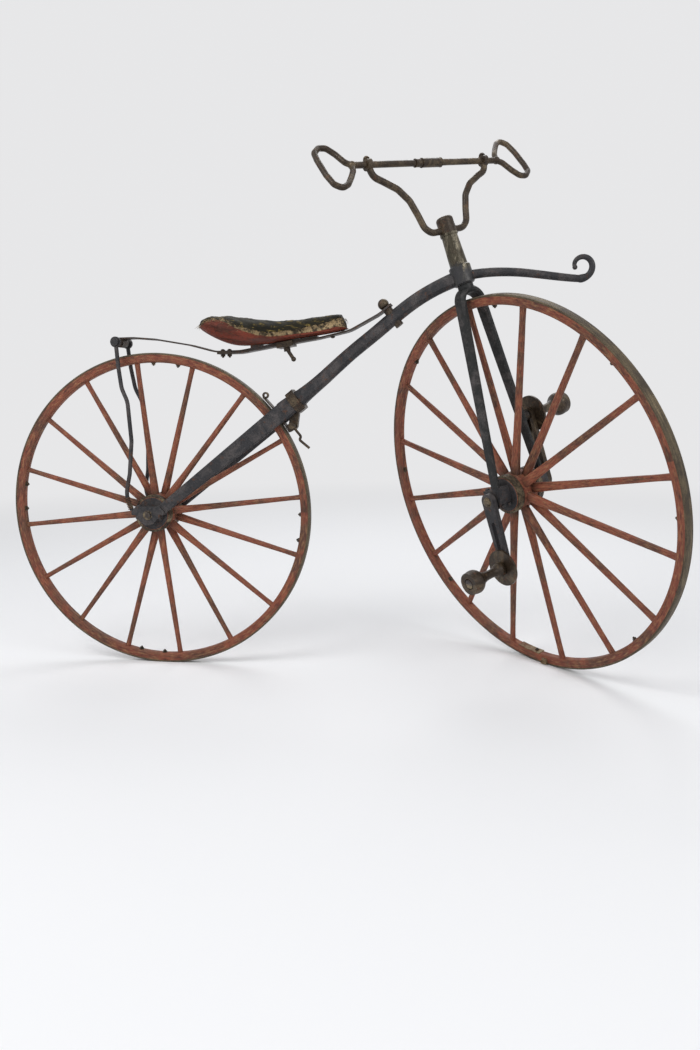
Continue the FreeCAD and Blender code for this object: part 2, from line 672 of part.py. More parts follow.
def stay_cross_bolt():
    """The cross bolt through both stays, with a head at each end."""
    centre = Vector(CROSS_BOLT_X, 0.0, CROSS_BOLT_Z)
    half = SIDE * (STAY_TOP_SPREAD + STAY_EYE_WIDTH / 2.0)
    head = cylinder(CROSS_BOLT_HEAD_RADIUS, centre + half, centre + half + SIDE * CROSS_BOLT_HEAD)
    shank = cylinder(CROSS_BOLT_RADIUS, centre - half, centre + half)
    return shank.fuse([head, mirrored(head)]).removeSplitter()


# Springs and what holds them

def rear_spring():
    """The rear leaf: its end is rolled round the cross bolt, and it comes down to the lap."""
    centre = Vector(CROSS_BOLT_X, 0.0, CROSS_BOLT_Z)
    inner = CROSS_BOLT_RADIUS + SEAT_CLEARANCE
    half = SIDE * (SPRING_WIDTH / 2.0)
    roll = cylinder(inner + SPRING_THICKNESS, centre - half, centre + half)
    rear = centre + UP * (inner + SPRING_THICKNESS / 2.0)
    lap = Vector(SPRING_LAP_X + SPRING_LAP / 2.0, 0.0, SPRING_LAP_Z + SPRING_THICKNESS)
    path = shared_path(rear, lap - rear, REAR_SPRING_SHARES)
    leaf = strap(path, SPRING_BEND, SPRING_WIDTH, SPRING_THICKNESS)
    return leaf.fuse(roll).cut(hole(inner, centre, SIDE)).removeSplitter()


def seat_bolt_place():
    """The foot, on the backbone's middle line, and the direction of the bolt that holds the main leaf."""
    point, ahead = backbone_place(SEAT_BOLT_SHARE)
    return point, over(ahead)


def main_spring_points():
    """The middle line of the main leaf, from the lap under the saddle up to the seat bolt."""
    foot, up = seat_bolt_place()
    end = foot + up * SEAT_BOLT_REACH
    ahead = SIDE.cross(up)
    start = Vector(SPRING_LAP_X - SPRING_LAP / 2.0, 0.0, SPRING_LAP_Z)
    flat = start + Vector(SPRING_LAP + SPRING_RUN, 0.0, 0.0)
    rise = shared_path(start, end - start, MAIN_SPRING_SHARES)
    return [start, flat, *rise, end - ahead * SEAT_FLAT, end + ahead * (SPRING_WIDTH / 2.0)]


def main_spring():
    """The main leaf, with a hole for the seat bolt at its front end."""
    leaf = strap(main_spring_points(), SPRING_BEND, SPRING_WIDTH, SPRING_THICKNESS)
    return leaf.cut(hole(SEAT_BOLT_RADIUS + SEAT_CLEARANCE, *seat_bolt_place()))


def seat_bolt():
    """The bolt through the backbone that clamps the main leaf: pillar, shank, round knob and nut."""
    foot, up = seat_bolt_place()
    seat = BACKBONE_HEIGHT / 2.0
    low, high = SEAT_BOLT_REACH - SPRING_THICKNESS / 2.0, SEAT_BOLT_REACH + SPRING_THICKNESS / 2.0
    middle = high + SEAT_BOLT_KNOB_RADIUS * SEAT_BOLT_KNOB_SHARE
    knob = Part.makeSphere(SEAT_BOLT_KNOB_RADIUS, foot + up * middle)
    knob = knob.cut(cylinder(SEAT_BOLT_KNOB_RADIUS, foot + up * seat, foot + up * high))
    pillar = cylinder(SEAT_BOLT_BASE_RADIUS, foot, foot + up * low)
    nut = cylinder(SEAT_BOLT_NUT_RADIUS, foot, foot - up * (seat + SEAT_BOLT_NUT))
    ends = pillar.fuse(nut).cut(backbone_bar())
    shank = cylinder(SEAT_BOLT_RADIUS, foot - up * (seat + SEAT_BOLT_NUT), foot + up * middle)
    return shank.fuse([ends, knob]).removeSplitter()


def saddle_strap():
    """The strap on the main leaf that carries the pan, with a packing block under the pan at each end."""
    leaf = main_spring_points()
    steepest = max(angle_of(after - before) for before, after in zip(leaf, leaf[1:4]))
    rise = (SPRING_THICKNESS + STRAP_THICKNESS) / 2.0 + RACE_GAP
    lift = UP * (rise / math.cos(math.radians(steepest)))
    start = leaf[0] + Vector(SPRING_LAP + STRAP_GAP, 0.0, 0.0)
    path = [point + lift for point in [start, *leaf[1:4]]]
    pan = saddle_pan()
    pan.translate(UP * -SOFT_CLEARANCE)
    half = STRAP_WIDTH / 2.0
    blocks = []
    for middle in ((path[1] + path[2]) / 2.0, (path[2] + path[3]) / 2.0):
        block = box((middle.x - half, middle.x + half), (-half, half), (middle.z, middle.z + SADDLE_HEIGHT))
        blocks.append(min(block.cut(pan).Solids, key=lambda solid: solid.BoundBox.ZMin))
    return strap(path, SPRING_BEND, STRAP_WIDTH, STRAP_THICKNESS).fuse(blocks).removeSplitter()


def clamp_place():
    """The middle of the saddle clamp on the main leaf, and the leaf's direction there."""
    low, high = main_spring_points()[2:4]
    return low + (high - low) * CLAMP_PLACE_SHARE, (high - low).normalize()


def saddle_clamp():
    """The clamp under the main leaf: a plate with turned-up cheeks beside leaf and strap."""
    middle, ahead = clamp_place()
    half, inner = CLAMP_LENGTH / 2.0, SPRING_WIDTH / 2.0 + RACE_GAP
    outer = inner + CLAMP_WALL
    rise = SPRING_THICKNESS + STRAP_THICKNESS
    body = box((-half, half), (-outer, outer), (-CLAMP_WALL, rise))
    slot = box((-half, half), (-inner, inner), (0.0, rise))
    return placed(body.cut(slot), along_x_to(middle - over(ahead) * (SPRING_THICKNESS / 2.0), ahead))


def clamp_screw():
    """The wing screw under the clamp: a short stem and a slanting paddle."""
    middle, ahead = clamp_place()
    down = over(ahead) * -1.0
    top = middle + down * (SPRING_THICKNESS / 2.0 + CLAMP_WALL)
    low = top + down * WING_STEM
    slant = vector_along(angle_of(down) + WING_SLANT, WING_LENGTH)
    wing = cylinder(WING_ROD_RADIUS, top + down * (WING_STEM / 2.0), low + slant)
    return cylinder(WING_STEM_RADIUS, top, low).fuse([wing, Part.makeSphere(WING_RADIUS, low + slant)])


# Saddle

def saddle_line(share):
    """A point on the sloping line that the saddle's heights are measured from, at a share of its length."""
    leaf = main_spring_points()
    along = SADDLE_TAIL_SHARE + (SADDLE_NOSE_SHARE - SADDLE_TAIL_SHARE) * share
    x = leaf[0].x + (leaf[-1].x - leaf[0].x) * along
    slope = (leaf[3].z - leaf[1].z) / (leaf[3].x - leaf[1].x)
    return Vector(x, 0.0, leaf[1].z + SADDLE_RISE + slope * (x - leaf[1].x))


def saddle_body(edge_shares, low_shares, top_shares, lift):
    """A body lofted along the saddle, its sides' edges, lower and upper middle at rows of heights."""
    sections = []
    rows = zip(SADDLE_STATION_SHARES, SADDLE_WIDTH_SHARES, edge_shares, low_shares, top_shares)
    for share, wide, edge, low, top in rows:
        base = saddle_line(share) + UP * lift
        aside = SIDE * (SADDLE_HALF_WIDTH * wide)
        right, left = (base + aside * side + UP * (SADDLE_HEIGHT * edge) for side in (-1, 1))
        below = Part.Arc(right, base + UP * (SADDLE_HEIGHT * low), left).toShape()
        above = Part.Arc(left, base + UP * (SADDLE_HEIGHT * top), right).toShape()
        sections.append(Part.Wire([below, above]))
    return Part.makeLoft(sections, True, False)


def pan_edge_shares():
    """The heights of the pan's edge, between its lowest and its highest line."""
    return [low + (top - low) * PAN_EDGE_SHARE for low, top in zip(PAN_LOW_SHARES, PAN_TOP_SHARES)]


def saddle_pan():
    """The saddle's stiff leather pan, a shallow hull."""
    return saddle_body(pan_edge_shares(), PAN_LOW_SHARES, PAN_TOP_SHARES, 0.0)


def saddle_cushion():
    """The padding on the pan, one closed soft body that follows the pan's upper face."""
    return saddle_body(pan_edge_shares(), PAN_TOP_SHARES, CUSHION_TOP_SHARES, SOFT_CLEARANCE)


def rider_point():
    """Where the rider sits: the top of the cushion."""
    low = saddle_line(RIDER_SHARE)
    line = Part.makeLine(low, low + UP * (SADDLE_HEIGHT + OVERRUN))
    return Vector(low.x, 0.0, saddle_cushion().common(line).BoundBox.ZMax)


# Brake

def link_face(length, near_radius, far_radius):
    """The outline of a flat link in the XZ plane: two rounds joined by their common tangents."""
    lean = math.asin((near_radius - far_radius) / length)
    above, below = vector_along(90.0 - math.degrees(lean), 1.0), vector_along(math.degrees(lean) - 90.0, 1.0)
    far = Vector(length, 0.0, 0.0)
    near_end, far_end = Vector(-near_radius, 0.0, 0.0), far + Vector(far_radius, 0.0, 0.0)
    edges = [Part.makeLine(above * near_radius, far + above * far_radius),
             Part.Arc(far + above * far_radius, far_end, far + below * far_radius).toShape(),
             Part.makeLine(far + below * far_radius, below * near_radius),
             Part.Arc(below * near_radius, near_end, above * near_radius).toShape()]
    return Part.Face(Part.Wire(edges))


def brake_pivot_place():
    """The middle of the brake's pivot bolt, ahead of the rear wheel and below the backbone."""
    return vector_along(SHOE_LOW_ANGLE, BRAKE_PIVOT_REACH)


def brake_collar():
    """The forged collar around the backbone, with its bolt on top and the lug for the pivot below."""
    point, ahead = backbone_place(BRAKE_COLLAR_SHARE)
    half = BRAKE_COLLAR_LENGTH / 2.0
    width, height = CROTCH_WIDTH + 2.0 * BRAKE_COLLAR_WALL, CROTCH_HEIGHT + 2.0 * BRAKE_COLLAR_WALL
    ring = Part.Face(octagon(point - ahead * half, SIDE, over(ahead), width, height))
    ring = ring.extrude(ahead * BRAKE_COLLAR_LENGTH)
    pivot = brake_pivot_place()
    link = link_face((point - pivot).Length, BRAKE_LUG_RADIUS, half)
    link = placed(link, along_x_to(pivot, point - pivot))
    link.translate(SIDE * (-BRAKE_LUG_WIDTH / 2.0))
    lug = link.extrude(SIDE * BRAKE_LUG_WIDTH)
    bore = hole(BRAKE_PIVOT_RADIUS + SEAT_CLEARANCE, pivot, SIDE)
    return ring.fuse(lug).cut(backbone_bar()).cut(bore)


def shoe_middle():
    """The radius of the brake shoe's middle, about the rear axle."""
    return REAR_WHEEL_RADIUS + SHOE_CLEARANCE + SHOE_THICKNESS / 2.0


def cheek_range():
    """The inner and outer face of the shoe's left cheek, which stands beside the collar's lug."""
    return BRAKE_LUG_WIDTH / 2.0 + RACE_GAP, SHOE_WIDTH / 2.0


def brake_shoe():
    """The brake shoe: a strip curved to the tyre, two cheeks on the pivot, and an eye for its cord."""
    middle, half = shoe_middle(), SHOE_THICKNESS / 2.0
    corners = [Vector(middle + x, y, 0.0) for x, y in ((-half, -SHOE_WIDTH / 2.0), (half, -SHOE_WIDTH / 2.0),
                                                       (half, SHOE_WIDTH / 2.0), (-half, SHOE_WIDTH / 2.0))]
    low = SHOE_LOW_ANGLE - math.degrees(BRAKE_CHEEK_RADIUS / middle)
    strip = Part.Face(Part.makePolygon(corners + corners[:1])).revolve(Vector(), SIDE, SHOE_TOP_ANGLE - low)
    strip.rotate(Vector(), SIDE, -SHOE_TOP_ANGLE)
    pivot = brake_pivot_place()
    inner, outer = cheek_range()
    cheek = cylinder(BRAKE_CHEEK_RADIUS, pivot + SIDE * inner, pivot + SIDE * outer)
    foot = box((middle - BRAKE_PIVOT_REACH, 0.0), (inner, outer), (-BRAKE_CHEEK_RADIUS, BRAKE_CHEEK_RADIUS))
    cheek = cheek.fuse(placed(foot, along_x_to(pivot, pivot)))
    eye_place = brake_eye_place()
    eye_half = SIDE * (BRAKE_EYE_WIDTH / 2.0)
    eye = cylinder(BRAKE_EYE_RADIUS, eye_place - eye_half, eye_place + eye_half)
    shoe = strip.fuse([cheek, mirrored(cheek), eye])
    shoe = shoe.cut(hole(BRAKE_PIVOT_RADIUS + SEAT_CLEARANCE, pivot, SIDE))
    return shoe.cut(hole(BRAKE_EYE_BORE, eye_place, SIDE)).removeSplitter()


def brake_eye_place():
    """The middle of the eye at the top of the brake shoe."""
    return vector_along(SHOE_TOP_ANGLE, REAR_WHEEL_RADIUS + SHOE_CLEARANCE + BRAKE_EYE_RADIUS)


def brake_rod_side():
    """The place along Y of the middle of the brake's rod, on the right of the shoe."""
    return -cheek_range()[1] - RACE_GAP - BRAKE_ROD_RADIUS


def brake_rod():
    """The bent rod that hangs from the brake's pivot."""
    centre = brake_pivot_place() + SIDE * brake_rod_side()
    half = SIDE * BRAKE_ROD_RADIUS
    span = Vector(BRAKE_ROD_REACH, 0.0, -BRAKE_ROD_REACH)
    eye = cylinder(BRAKE_PIVOT_HEAD_RADIUS, centre - half, centre + half)
    bar = rod(shared_path(centre, span, BRAKE_ROD_SHARES), BRAKE_ROD_BEND, BRAKE_ROD_RADIUS)
    return bar.fuse(eye).cut(hole(BRAKE_PIVOT_RADIUS + SEAT_CLEARANCE, centre, SIDE))


def brake_pivot():
    """The brake's pivot bolt through lug, cheeks and rod, with a head on both ends."""
    pivot = brake_pivot_place()
    left = pivot + SIDE * (cheek_range()[1] + RACE_GAP)
    right = pivot + SIDE * (brake_rod_side() - BRAKE_ROD_RADIUS - RACE_GAP)
    heads = [cylinder(BRAKE_PIVOT_HEAD_RADIUS, left, left + SIDE * BRAKE_PIVOT_HEAD),
             cylinder(BRAKE_PIVOT_HEAD_RADIUS, right, right - SIDE * BRAKE_PIVOT_HEAD)]
    return cylinder(BRAKE_PIVOT_RADIUS, left, right).fuse(heads).removeSplitter()


# Front fork, in the steering frame

def bracket_base():
    """The underside of the handlebar bracket's ring, over the head."""
    return HEAD_TOP + RACE_GAP


def cap_base():
    """The underside of the cap, on the bracket's ring."""
    return bracket_base() + BRACKET_RING_HEIGHT


def stem_top():
    """The top of the stem, inside the cap."""
    return cap_base() + CAP_HEIGHT * STEM_IN_CAP_SHARE


def fork_crown():
    """The fork's arch over the tyre, with the stem that turns in the head."""
    centre = UP * CROWN_CENTRE
    ahead = Vector(1.0, 0.0, 0.0)
    section = Part.Face(octagon(centre + SIDE * CROWN_RADIUS, ahead, SIDE, CROWN_DEPTH, CROWN_THICKNESS))
    arch = section.revolve(centre, ahead, 180.0)
    shoulder = centre + UP * CROWN_RADIUS
    race = cylinder(HEAD_TOP_RADIUS, shoulder, UP * (HEAD_LOW - RACE_GAP))
    return arch.fuse([race, cylinder(STEM_RADIUS, shoulder, UP * stem_top())]).removeSplitter()


def fork_blade():
    """The left fork blade: it spreads and narrows from the crown down to the bearing block."""
    top = Vector(0.0, CROWN_RADIUS, CROWN_CENTRE)
    foot = Vector(BLADE_FOOT_FORWARD, BLADE_FOOT_SPREAD, BLADE_FOOT)
    sections = []
    for down, narrow in BLADE_SHARES:
        depth = CROWN_DEPTH + (BLADE_FOOT_DEPTH - CROWN_DEPTH) * narrow
        thickness = CROWN_THICKNESS + (BLADE_FOOT_THICKNESS - CROWN_THICKNESS) * narrow
        sections.append(octagon(top + (foot - top) * down, Vector(1.0, 0.0, 0.0), SIDE, depth, thickness))
    return Part.makeLoft(sections, True, False)


def front_bearing():
    """The left bearing block under the blade's foot, round below, with the running bore."""
    inner, outer = bearing_inner(), bearing_inner() + FRONT_BEARING_WIDTH
    half = FRONT_BEARING_LENGTH / 2.0
    block = box((-half, half), (inner, outer), (0.0, BLADE_FOOT))
    belly = cylinder(FRONT_BEARING_DROP, SIDE * inner, SIDE * outer)
    above = box((-half, half), (inner, outer), (0.0, FRONT_BEARING_LENGTH))
    return on_front_axle(block.fuse(belly.cut(above)).cut(running_bore()).removeSplitter())


# Handlebar and its bracket, in the steering frame

def bar_placement():
    """Puts a piece modelled along Y about zero in the handlebar's place, one end a little higher."""
    height = bracket_base() + BRACKET_RING_HEIGHT / 2.0 + BRACKET_EYE_HEIGHT
    return Placement(Vector(BAR_FORWARD, 0.0, height), Rotation(Vector(1.0, 0.0, 0.0), -BAR_LEAN))


def bracket_arm(side):
    """One round arm of the lyre bracket from its ring to its eye; side is 1 on the left, -1 on the right."""
    base = UP * (bracket_base() + BRACKET_RING_HEIGHT / 2.0)
    points = []
    for out, up in BRACKET_SHARES:
        across = BRACKET_EYE_SPREAD * out * side
        lean = across * math.tan(math.radians(BAR_LEAN))
        points.append(base + Vector(BAR_FORWARD * up, across, (BRACKET_EYE_HEIGHT - lean) * up))
    start = SIDE * (side * BRACKET_EYE_SPREAD - BRACKET_EYE_WIDTH / 2.0)
    eye = cylinder(BRACKET_EYE_RADIUS, start, start + SIDE * BRACKET_EYE_WIDTH)
    return rod(points, BRACKET_BEND, BRACKET_ROD_RADIUS).fuse(placed(eye, bar_placement()))


def handlebar_bracket():
    """The lyre bracket: a ring on the stem and two round arms that end in eyes for the bar."""
    ring = cylinder(BRACKET_RING_RADIUS, UP * bracket_base(), UP * cap_base())
    half = SIDE * BAR_HALF_LENGTH
    bore = placed(cylinder(BAR_RADIUS + SEAT_CLEARANCE, half * -1.0, half), bar_placement())
    stem_hole = hole(STEM_RADIUS + SEAT_CLEARANCE, UP * bracket_base(), UP)
    return ring.fuse([bracket_arm(1), bracket_arm(-1)]).cut(stem_hole).cut(bore).removeSplitter()


def grip(side):
    """The open loop forged on one end of the bar; the two loops are turned half round to each other."""
    points = [Vector(0.0, side * (BAR_HALF_LENGTH + GRIP_REACH * out), side * GRIP_HEIGHT * up)
              for out, up in GRIP_SHARES]
    middle = len(points) // 2
    loop = rod(points[:middle + 1], GRIP_BEND, GRIP_RADIUS).fuse(rod(points[middle:], GRIP_BEND, GRIP_RADIUS))
    loop = loop.fuse(Part.makeSphere(GRIP_KNOT_RADIUS, points[0]))
    loop.rotate(Vector(), SIDE, -GRIP_TILT)
    return loop


def handlebar():
    """The handlebar: a round bar whose ends are forged into open loops for the hands."""
    half = SIDE * BAR_HALF_LENGTH
    return placed(cylinder(BAR_RADIUS, half * -1.0, half).fuse([grip(1), grip(-1)]), bar_placement())


def handlebar_sleeve():
    """The stepped sleeve on the middle of the bar."""
    left, right = SIDE * (SLEEVE_OFFSET + SLEEVE_LENGTH / 2.0), SIDE * (SLEEVE_OFFSET - SLEEVE_LENGTH / 2.0)
    neck = cylinder(SLEEVE_NECK_RADIUS, right, right - SIDE * SLEEVE_NECK)
    bore = hole(BAR_RADIUS + SEAT_CLEARANCE, right, SIDE)
    return placed(cylinder(SLEEVE_RADIUS, left, right).fuse(neck).cut(bore), bar_placement())


def steering_cap():
    """The domed cap nut on the stem, over the bracket's ring."""
    base = UP * cap_base()
    cap = Part.makeCylinder(CAP_RADIUS, CAP_HEIGHT, base)
    cap = cap.makeFillet(CAP_DOME, [edge for edge in cap.Edges if edge.BoundBox.ZMin > cap_base() + CAP_DOME])
    return cap.cut(cylinder(STEM_RADIUS + SEAT_CLEARANCE, base, UP * (stem_top() + RACE_GAP)))


# Cranks and pedals: the left ones along +X in the wheel, then turned to their angle

def crank_face():
    """The place along Y of the crank's inner face."""
    return bearing_inner() + FRONT_BEARING_WIDTH + CRANK_GAP


def pedal_face():
    """The place along Y of the pedal's inner face."""
    return crank_face() + CRANK_THICKNESS + PEDAL_GAP


def in_crank(shape, angle):
    """Turns a piece modelled with the crank along +X to the crank's angle."""
    return placed(shape, Placement(Vector(), Rotation(SIDE, -angle)))


def crank():
    """The left crank: a flat arm with a long slot in which the pedal's pin is set."""
    slot_radius = PEDAL_PIN_RADIUS + SEAT_CLEARANCE
    slot = link_face(CRANK_THROW - CRANK_SLOT_START, slot_radius, slot_radius)
    slot.translate(Vector(CRANK_SLOT_START, 0.0, 0.0))
    arm = link_face(CRANK_THROW, CRANK_BOSS_RADIUS, CRANK_TIP_RADIUS).cut(slot)
    arm.translate(SIDE * crank_face())
    bore = hole(AXLE_RADIUS + SEAT_CLEARANCE, SIDE * crank_face(), SIDE)
    return arm.extrude(SIDE * CRANK_THICKNESS).cut(bore)


def pedal_pin():
    """The left pedal's pin: a head behind the crank, the shank, and a nut in the pedal's outer end."""
    throw = Vector(CRANK_THROW, 0.0, 0.0)
    face, end = throw + SIDE * crank_face(), throw + SIDE * (pedal_face() + PEDAL_LENGTH)
    head = cylinder(PEDAL_PIN_HEAD_RADIUS, face - SIDE * PEDAL_PIN_HEAD, face)
    nut = cylinder(PEDAL_NUT_RADIUS, end - SIDE * PEDAL_NUT, end)
    return cylinder(PEDAL_PIN_RADIUS, face, end).fuse([head, nut]).removeSplitter()


def pedal():
    """The left pedal: a turned spool with a wide inner disc, a bead, a waist and a flared, recessed end."""
    start, end = pedal_face(), pedal_face() + PEDAL_LENGTH
    disc = start + PEDAL_DISC_THICKNESS
    recess = end - PEDAL_NUT - PEDAL_GAP / 2.0
    bore = PEDAL_PIN_RADIUS + RUNNING_CLEARANCE
    points = []
    for shares, radius in ((PEDAL_WAIST_SHARES, PEDAL_BEAD_RADIUS), (PEDAL_FLARE_SHARES, PEDAL_END_RADIUS)):
        swell = radius - PEDAL_NECK_RADIUS
        points += [Vector(PEDAL_NECK_RADIUS + swell * out, disc + (end - disc) * along, 0.0)
                   for along, out in shares]
    curve = Part.BSplineCurve()
    curve.interpolate(points)
    corners = [points[-1], Vector(PEDAL_NUT_RECESS, end, 0.0), Vector(PEDAL_NUT_RECESS, recess, 0.0),
               Vector(bore, recess, 0.0), Vector(bore, start, 0.0), Vector(PEDAL_DISC_RADIUS, start, 0.0),
               Vector(PEDAL_DISC_RADIUS, disc, 0.0), points[0]]
    outline = Part.Wire([curve.toShape()] + Part.makePolygon(corners).Edges)
    solid = Part.Face(outline).revolve(Vector(), SIDE, 360.0)
    solid.translate(Vector(CRANK_THROW, 0.0, 0.0))
    return solid


def frame_pieces():
    """The pieces of the frame, which stay still."""
    pieces = {"backbone": backbone(), "head_socket": head_socket(), "leg_rest": leg_rest(),
              "stay_cross_bolt": stay_cross_bolt(), "rear_spring": rear_spring(),
              "main_spring": main_spring(), "seat_bolt": seat_bolt(),
              "saddle_strap": saddle_strap(), "saddle_clamp": saddle_clamp(),
              "clamp_screw": clamp_screw(), "saddle_pan": saddle_pan(), "saddle_cushion": saddle_cushion(),
              "brake_collar": brake_collar(), "brake_shoe": brake_shoe(), "brake_rod": brake_rod(),
              "brake_pivot": brake_pivot()}
    for name, shape in (("rear_fork_arm", rear_fork_arm()), ("rear_bearing_cap", rear_bearing_cap()),
                        ("saddle_stay", saddle_stay())):
        pieces[name + "_left"] = shape
        pieces[name + "_right"] = mirrored(shape)
    return pieces


def rear_wheel_pieces():
    """The pieces that turn with the rear wheel."""
    bolt_end = SIDE * (bearing_inner() + BEARING_WIDTH + REAR_AXLE_END)
    ends = cylinder(REAR_AXLE_END_RADIUS, bolt_end * -1.0, bolt_end)
    return {"rear_tyre": tyre(REAR_WHEEL_RADIUS), "rear_felloe": felloe(REAR_WHEEL_RADIUS),
            "rear_nave": nave(), "rear_nave_bands": nave_bands(),
            "rear_spokes": spokes(REAR_WHEEL_RADIUS, REAR_SPOKE_ROOT_WIDTH, REAR_SPOKE_PHASE),
            "rear_axle": axle(bearing_inner() + BEARING_WIDTH).fuse(ends).removeSplitter()}


def steering_pieces():
    """The pieces that turn with the fork, in the steering frame."""
    pieces = {"fork_crown": fork_crown(), "handlebar_bracket": handlebar_bracket(), "handlebar": handlebar(),
              "handlebar_sleeve": handlebar_sleeve(), "steering_cap": steering_cap()}
    for name, shape in (("fork_blade", fork_blade()), ("front_bearing", front_bearing())):
        pieces[name + "_left"] = shape
        pieces[name + "_right"] = mirrored(shape)
    return pieces


def front_wheel_pieces():
    """The pieces that turn with the front wheel, and the pedals, about the front axle."""
    pieces = {"front_tyre": tyre(FRONT_WHEEL_RADIUS), "front_felloe": felloe(FRONT_WHEEL_RADIUS),
              "front_nave": nave(), "front_nave_bands": nave_bands(),
              "front_spokes": spokes(FRONT_WHEEL_RADIUS, FRONT_SPOKE_ROOT_WIDTH, FRONT_SPOKE_PHASE),
              "front_axle": axle(crank_face() + CRANK_THICKNESS)}
    for name, shape in (("crank", crank()), ("pedal_pin", pedal_pin()), ("pedal", pedal())):
        pieces[name + "_left"] = in_crank(shape, LEFT_CRANK_ANGLE)
        pieces[name + "_right"] = in_crank(mirrored(shape), LEFT_CRANK_ANGLE + 180.0)
    return pieces


def main():
    """Builds every piece and writes each to its own file, with zero where the rider sits."""
    pieces = {**frame_pieces(), **rear_wheel_pieces()}
    for name, shape in steering_pieces().items():
        pieces[name] = steered(shape)
    for name, shape in front_wheel_pieces().items():
        pieces[name] = steered(on_front_axle(shape))
    origin = rider_point()
    os.makedirs("parts", exist_ok=True)
    for name, shape in pieces.items():
        shape.translate(-origin)
        shape.exportStep("parts/" + name + ".step")


main()
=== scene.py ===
"""Looks of a boneshaker velocipede: painted wooden wheels, rusted iron, a worn leather saddle.

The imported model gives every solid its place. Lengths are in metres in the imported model's frame, where
+X is forward, +Y the vehicle's left and +Z up. Frame pieces are placed from the rear axle, and steered
pieces from the front axle, along the steering frame's own directions.
"""

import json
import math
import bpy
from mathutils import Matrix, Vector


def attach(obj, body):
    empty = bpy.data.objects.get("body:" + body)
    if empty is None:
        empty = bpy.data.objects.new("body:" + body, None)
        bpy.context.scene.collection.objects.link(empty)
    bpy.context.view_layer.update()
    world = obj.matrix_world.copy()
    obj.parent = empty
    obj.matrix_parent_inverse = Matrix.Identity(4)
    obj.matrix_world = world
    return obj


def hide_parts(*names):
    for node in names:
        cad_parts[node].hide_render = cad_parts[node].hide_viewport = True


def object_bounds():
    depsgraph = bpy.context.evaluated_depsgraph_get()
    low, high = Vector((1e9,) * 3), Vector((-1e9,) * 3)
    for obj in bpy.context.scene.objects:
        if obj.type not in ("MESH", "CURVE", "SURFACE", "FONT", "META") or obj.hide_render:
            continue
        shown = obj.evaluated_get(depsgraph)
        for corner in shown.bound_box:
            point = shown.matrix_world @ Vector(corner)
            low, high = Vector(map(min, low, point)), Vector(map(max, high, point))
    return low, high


bl_info = {
    "name": "Boneshaker velocipede",
    "version": (1, 0, 0),
    "blender": (4, 5, 0),
    "location": "View3D > Sidebar > Velocipede",
    "description": "Builds the wheels, saddle, fittings and finishes of a boneshaker velocipede",
    "category": "Object",
}

import bmesh
import bpy
import numpy as np
from bpy.props import FloatProperty, FloatVectorProperty, IntProperty, PointerProperty
from mathutils import Euler, Vector

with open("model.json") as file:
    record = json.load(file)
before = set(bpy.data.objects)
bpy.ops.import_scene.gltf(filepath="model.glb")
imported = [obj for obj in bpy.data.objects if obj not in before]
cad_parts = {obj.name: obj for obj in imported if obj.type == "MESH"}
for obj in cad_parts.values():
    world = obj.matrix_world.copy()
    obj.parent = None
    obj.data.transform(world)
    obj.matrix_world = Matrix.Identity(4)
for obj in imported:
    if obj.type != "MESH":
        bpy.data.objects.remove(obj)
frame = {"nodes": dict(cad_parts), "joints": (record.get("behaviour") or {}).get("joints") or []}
CAD_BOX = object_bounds()
MM = 0.001

JOINTS = {joint["name"]: joint for joint in frame["joints"]}


def joint_place(name):
    """Where a joint turns, in metres."""
    return np.array(JOINTS[name]["pos_m"], float)


def joint_axis(name):
    """The direction of a joint's axis."""
    axis = np.array(JOINTS[name]["axis"], float)
    return axis / np.linalg.norm(axis)


# Each place has an origin and the directions of its forward, left and up
REAR = (joint_place("rear_wheel_spin"), np.eye(3))
LEFT = joint_axis("front_wheel_spin")
STEM = joint_axis("steering_turn")
STEERED = np.array([np.cross(LEFT, STEM), LEFT, STEM])
FRONT = (joint_place("front_wheel_spin"), STEERED)
STEERING = (joint_place("steering_turn"), STEERED)


# Sizes and colours

def length(name, default, description):
    """A length property, its default in millimetres."""
    return FloatProperty(name=name, description=description, default=default * MM, min=0.0,
                         unit="LENGTH", precision=4)


def colour(name, default, description):
    """A colour property."""
    return FloatVectorProperty(name=name, description=description, default=default, size=3, subtype="COLOR",
                               min=0.0, max=1.0)


class VelocipedeSizes(bpy.types.PropertyGroup):
    """Sizes of the wheels, the saddle and the small fittings."""
    rear_radius: length("Rear wheel radius", 396.0, "Outside radius of the rear tyre")
    front_radius: length("Front wheel radius", 457.0, "Outside radius of the front tyre")
    tyre_width: length("Tyre width", 22.0, "Width of the iron tyres")
    tyre_thickness: length("Tyre thickness", 4.5, "Thickness of the iron tyres")
    felloe_width: length("Felloe width", 21.0, "Width of the wooden rims")
    felloe_depth: length("Felloe depth", 19.0, "Depth of the wooden rims")
    felloe_rounding: length("Felloe rounding", 5.0, "Rounding of the rims' inner edges")
    spoke_count: IntProperty(name="Spokes", description="Spokes in each wheel", default=16, min=8, max=24)
    spoke_stagger: length("Spoke stagger", 9.0, "Distance of the spokes' roots from the wheel's middle")
    nave_half: length("Half nave length", 42.0, "Half the length of the turned naves")
    nave_radius: length("Nave radius", 46.0, "Radius of the naves' crowns")
    band_radius: length("Band seat radius", 41.0, "Radius of the naves under their iron bands")
    fringe_length: length("Fringe length", 13.0, "Length of the stuffing's loose fibres")
    fringe_radius: length("Fringe radius", 0.28, "Radius of the stuffing's loose fibres")
    fringe_count: IntProperty(name="Fibres", description="Loose fibres on each side of the saddle",
                              default=650, min=0, max=2000)
    cover_thickness: length("Cover thickness", 2.2, "Thickness of the saddle's leather cover")
    side_thickness: length("Side thickness", 1.6, "Thickness of the red leather on the saddle's sides")
    bolt_radius: length("Bolt radius", 5.5, "Radius of the small bolt heads")
    wire_radius: length("Wire radius", 1.1, "Radius of the binding wire")


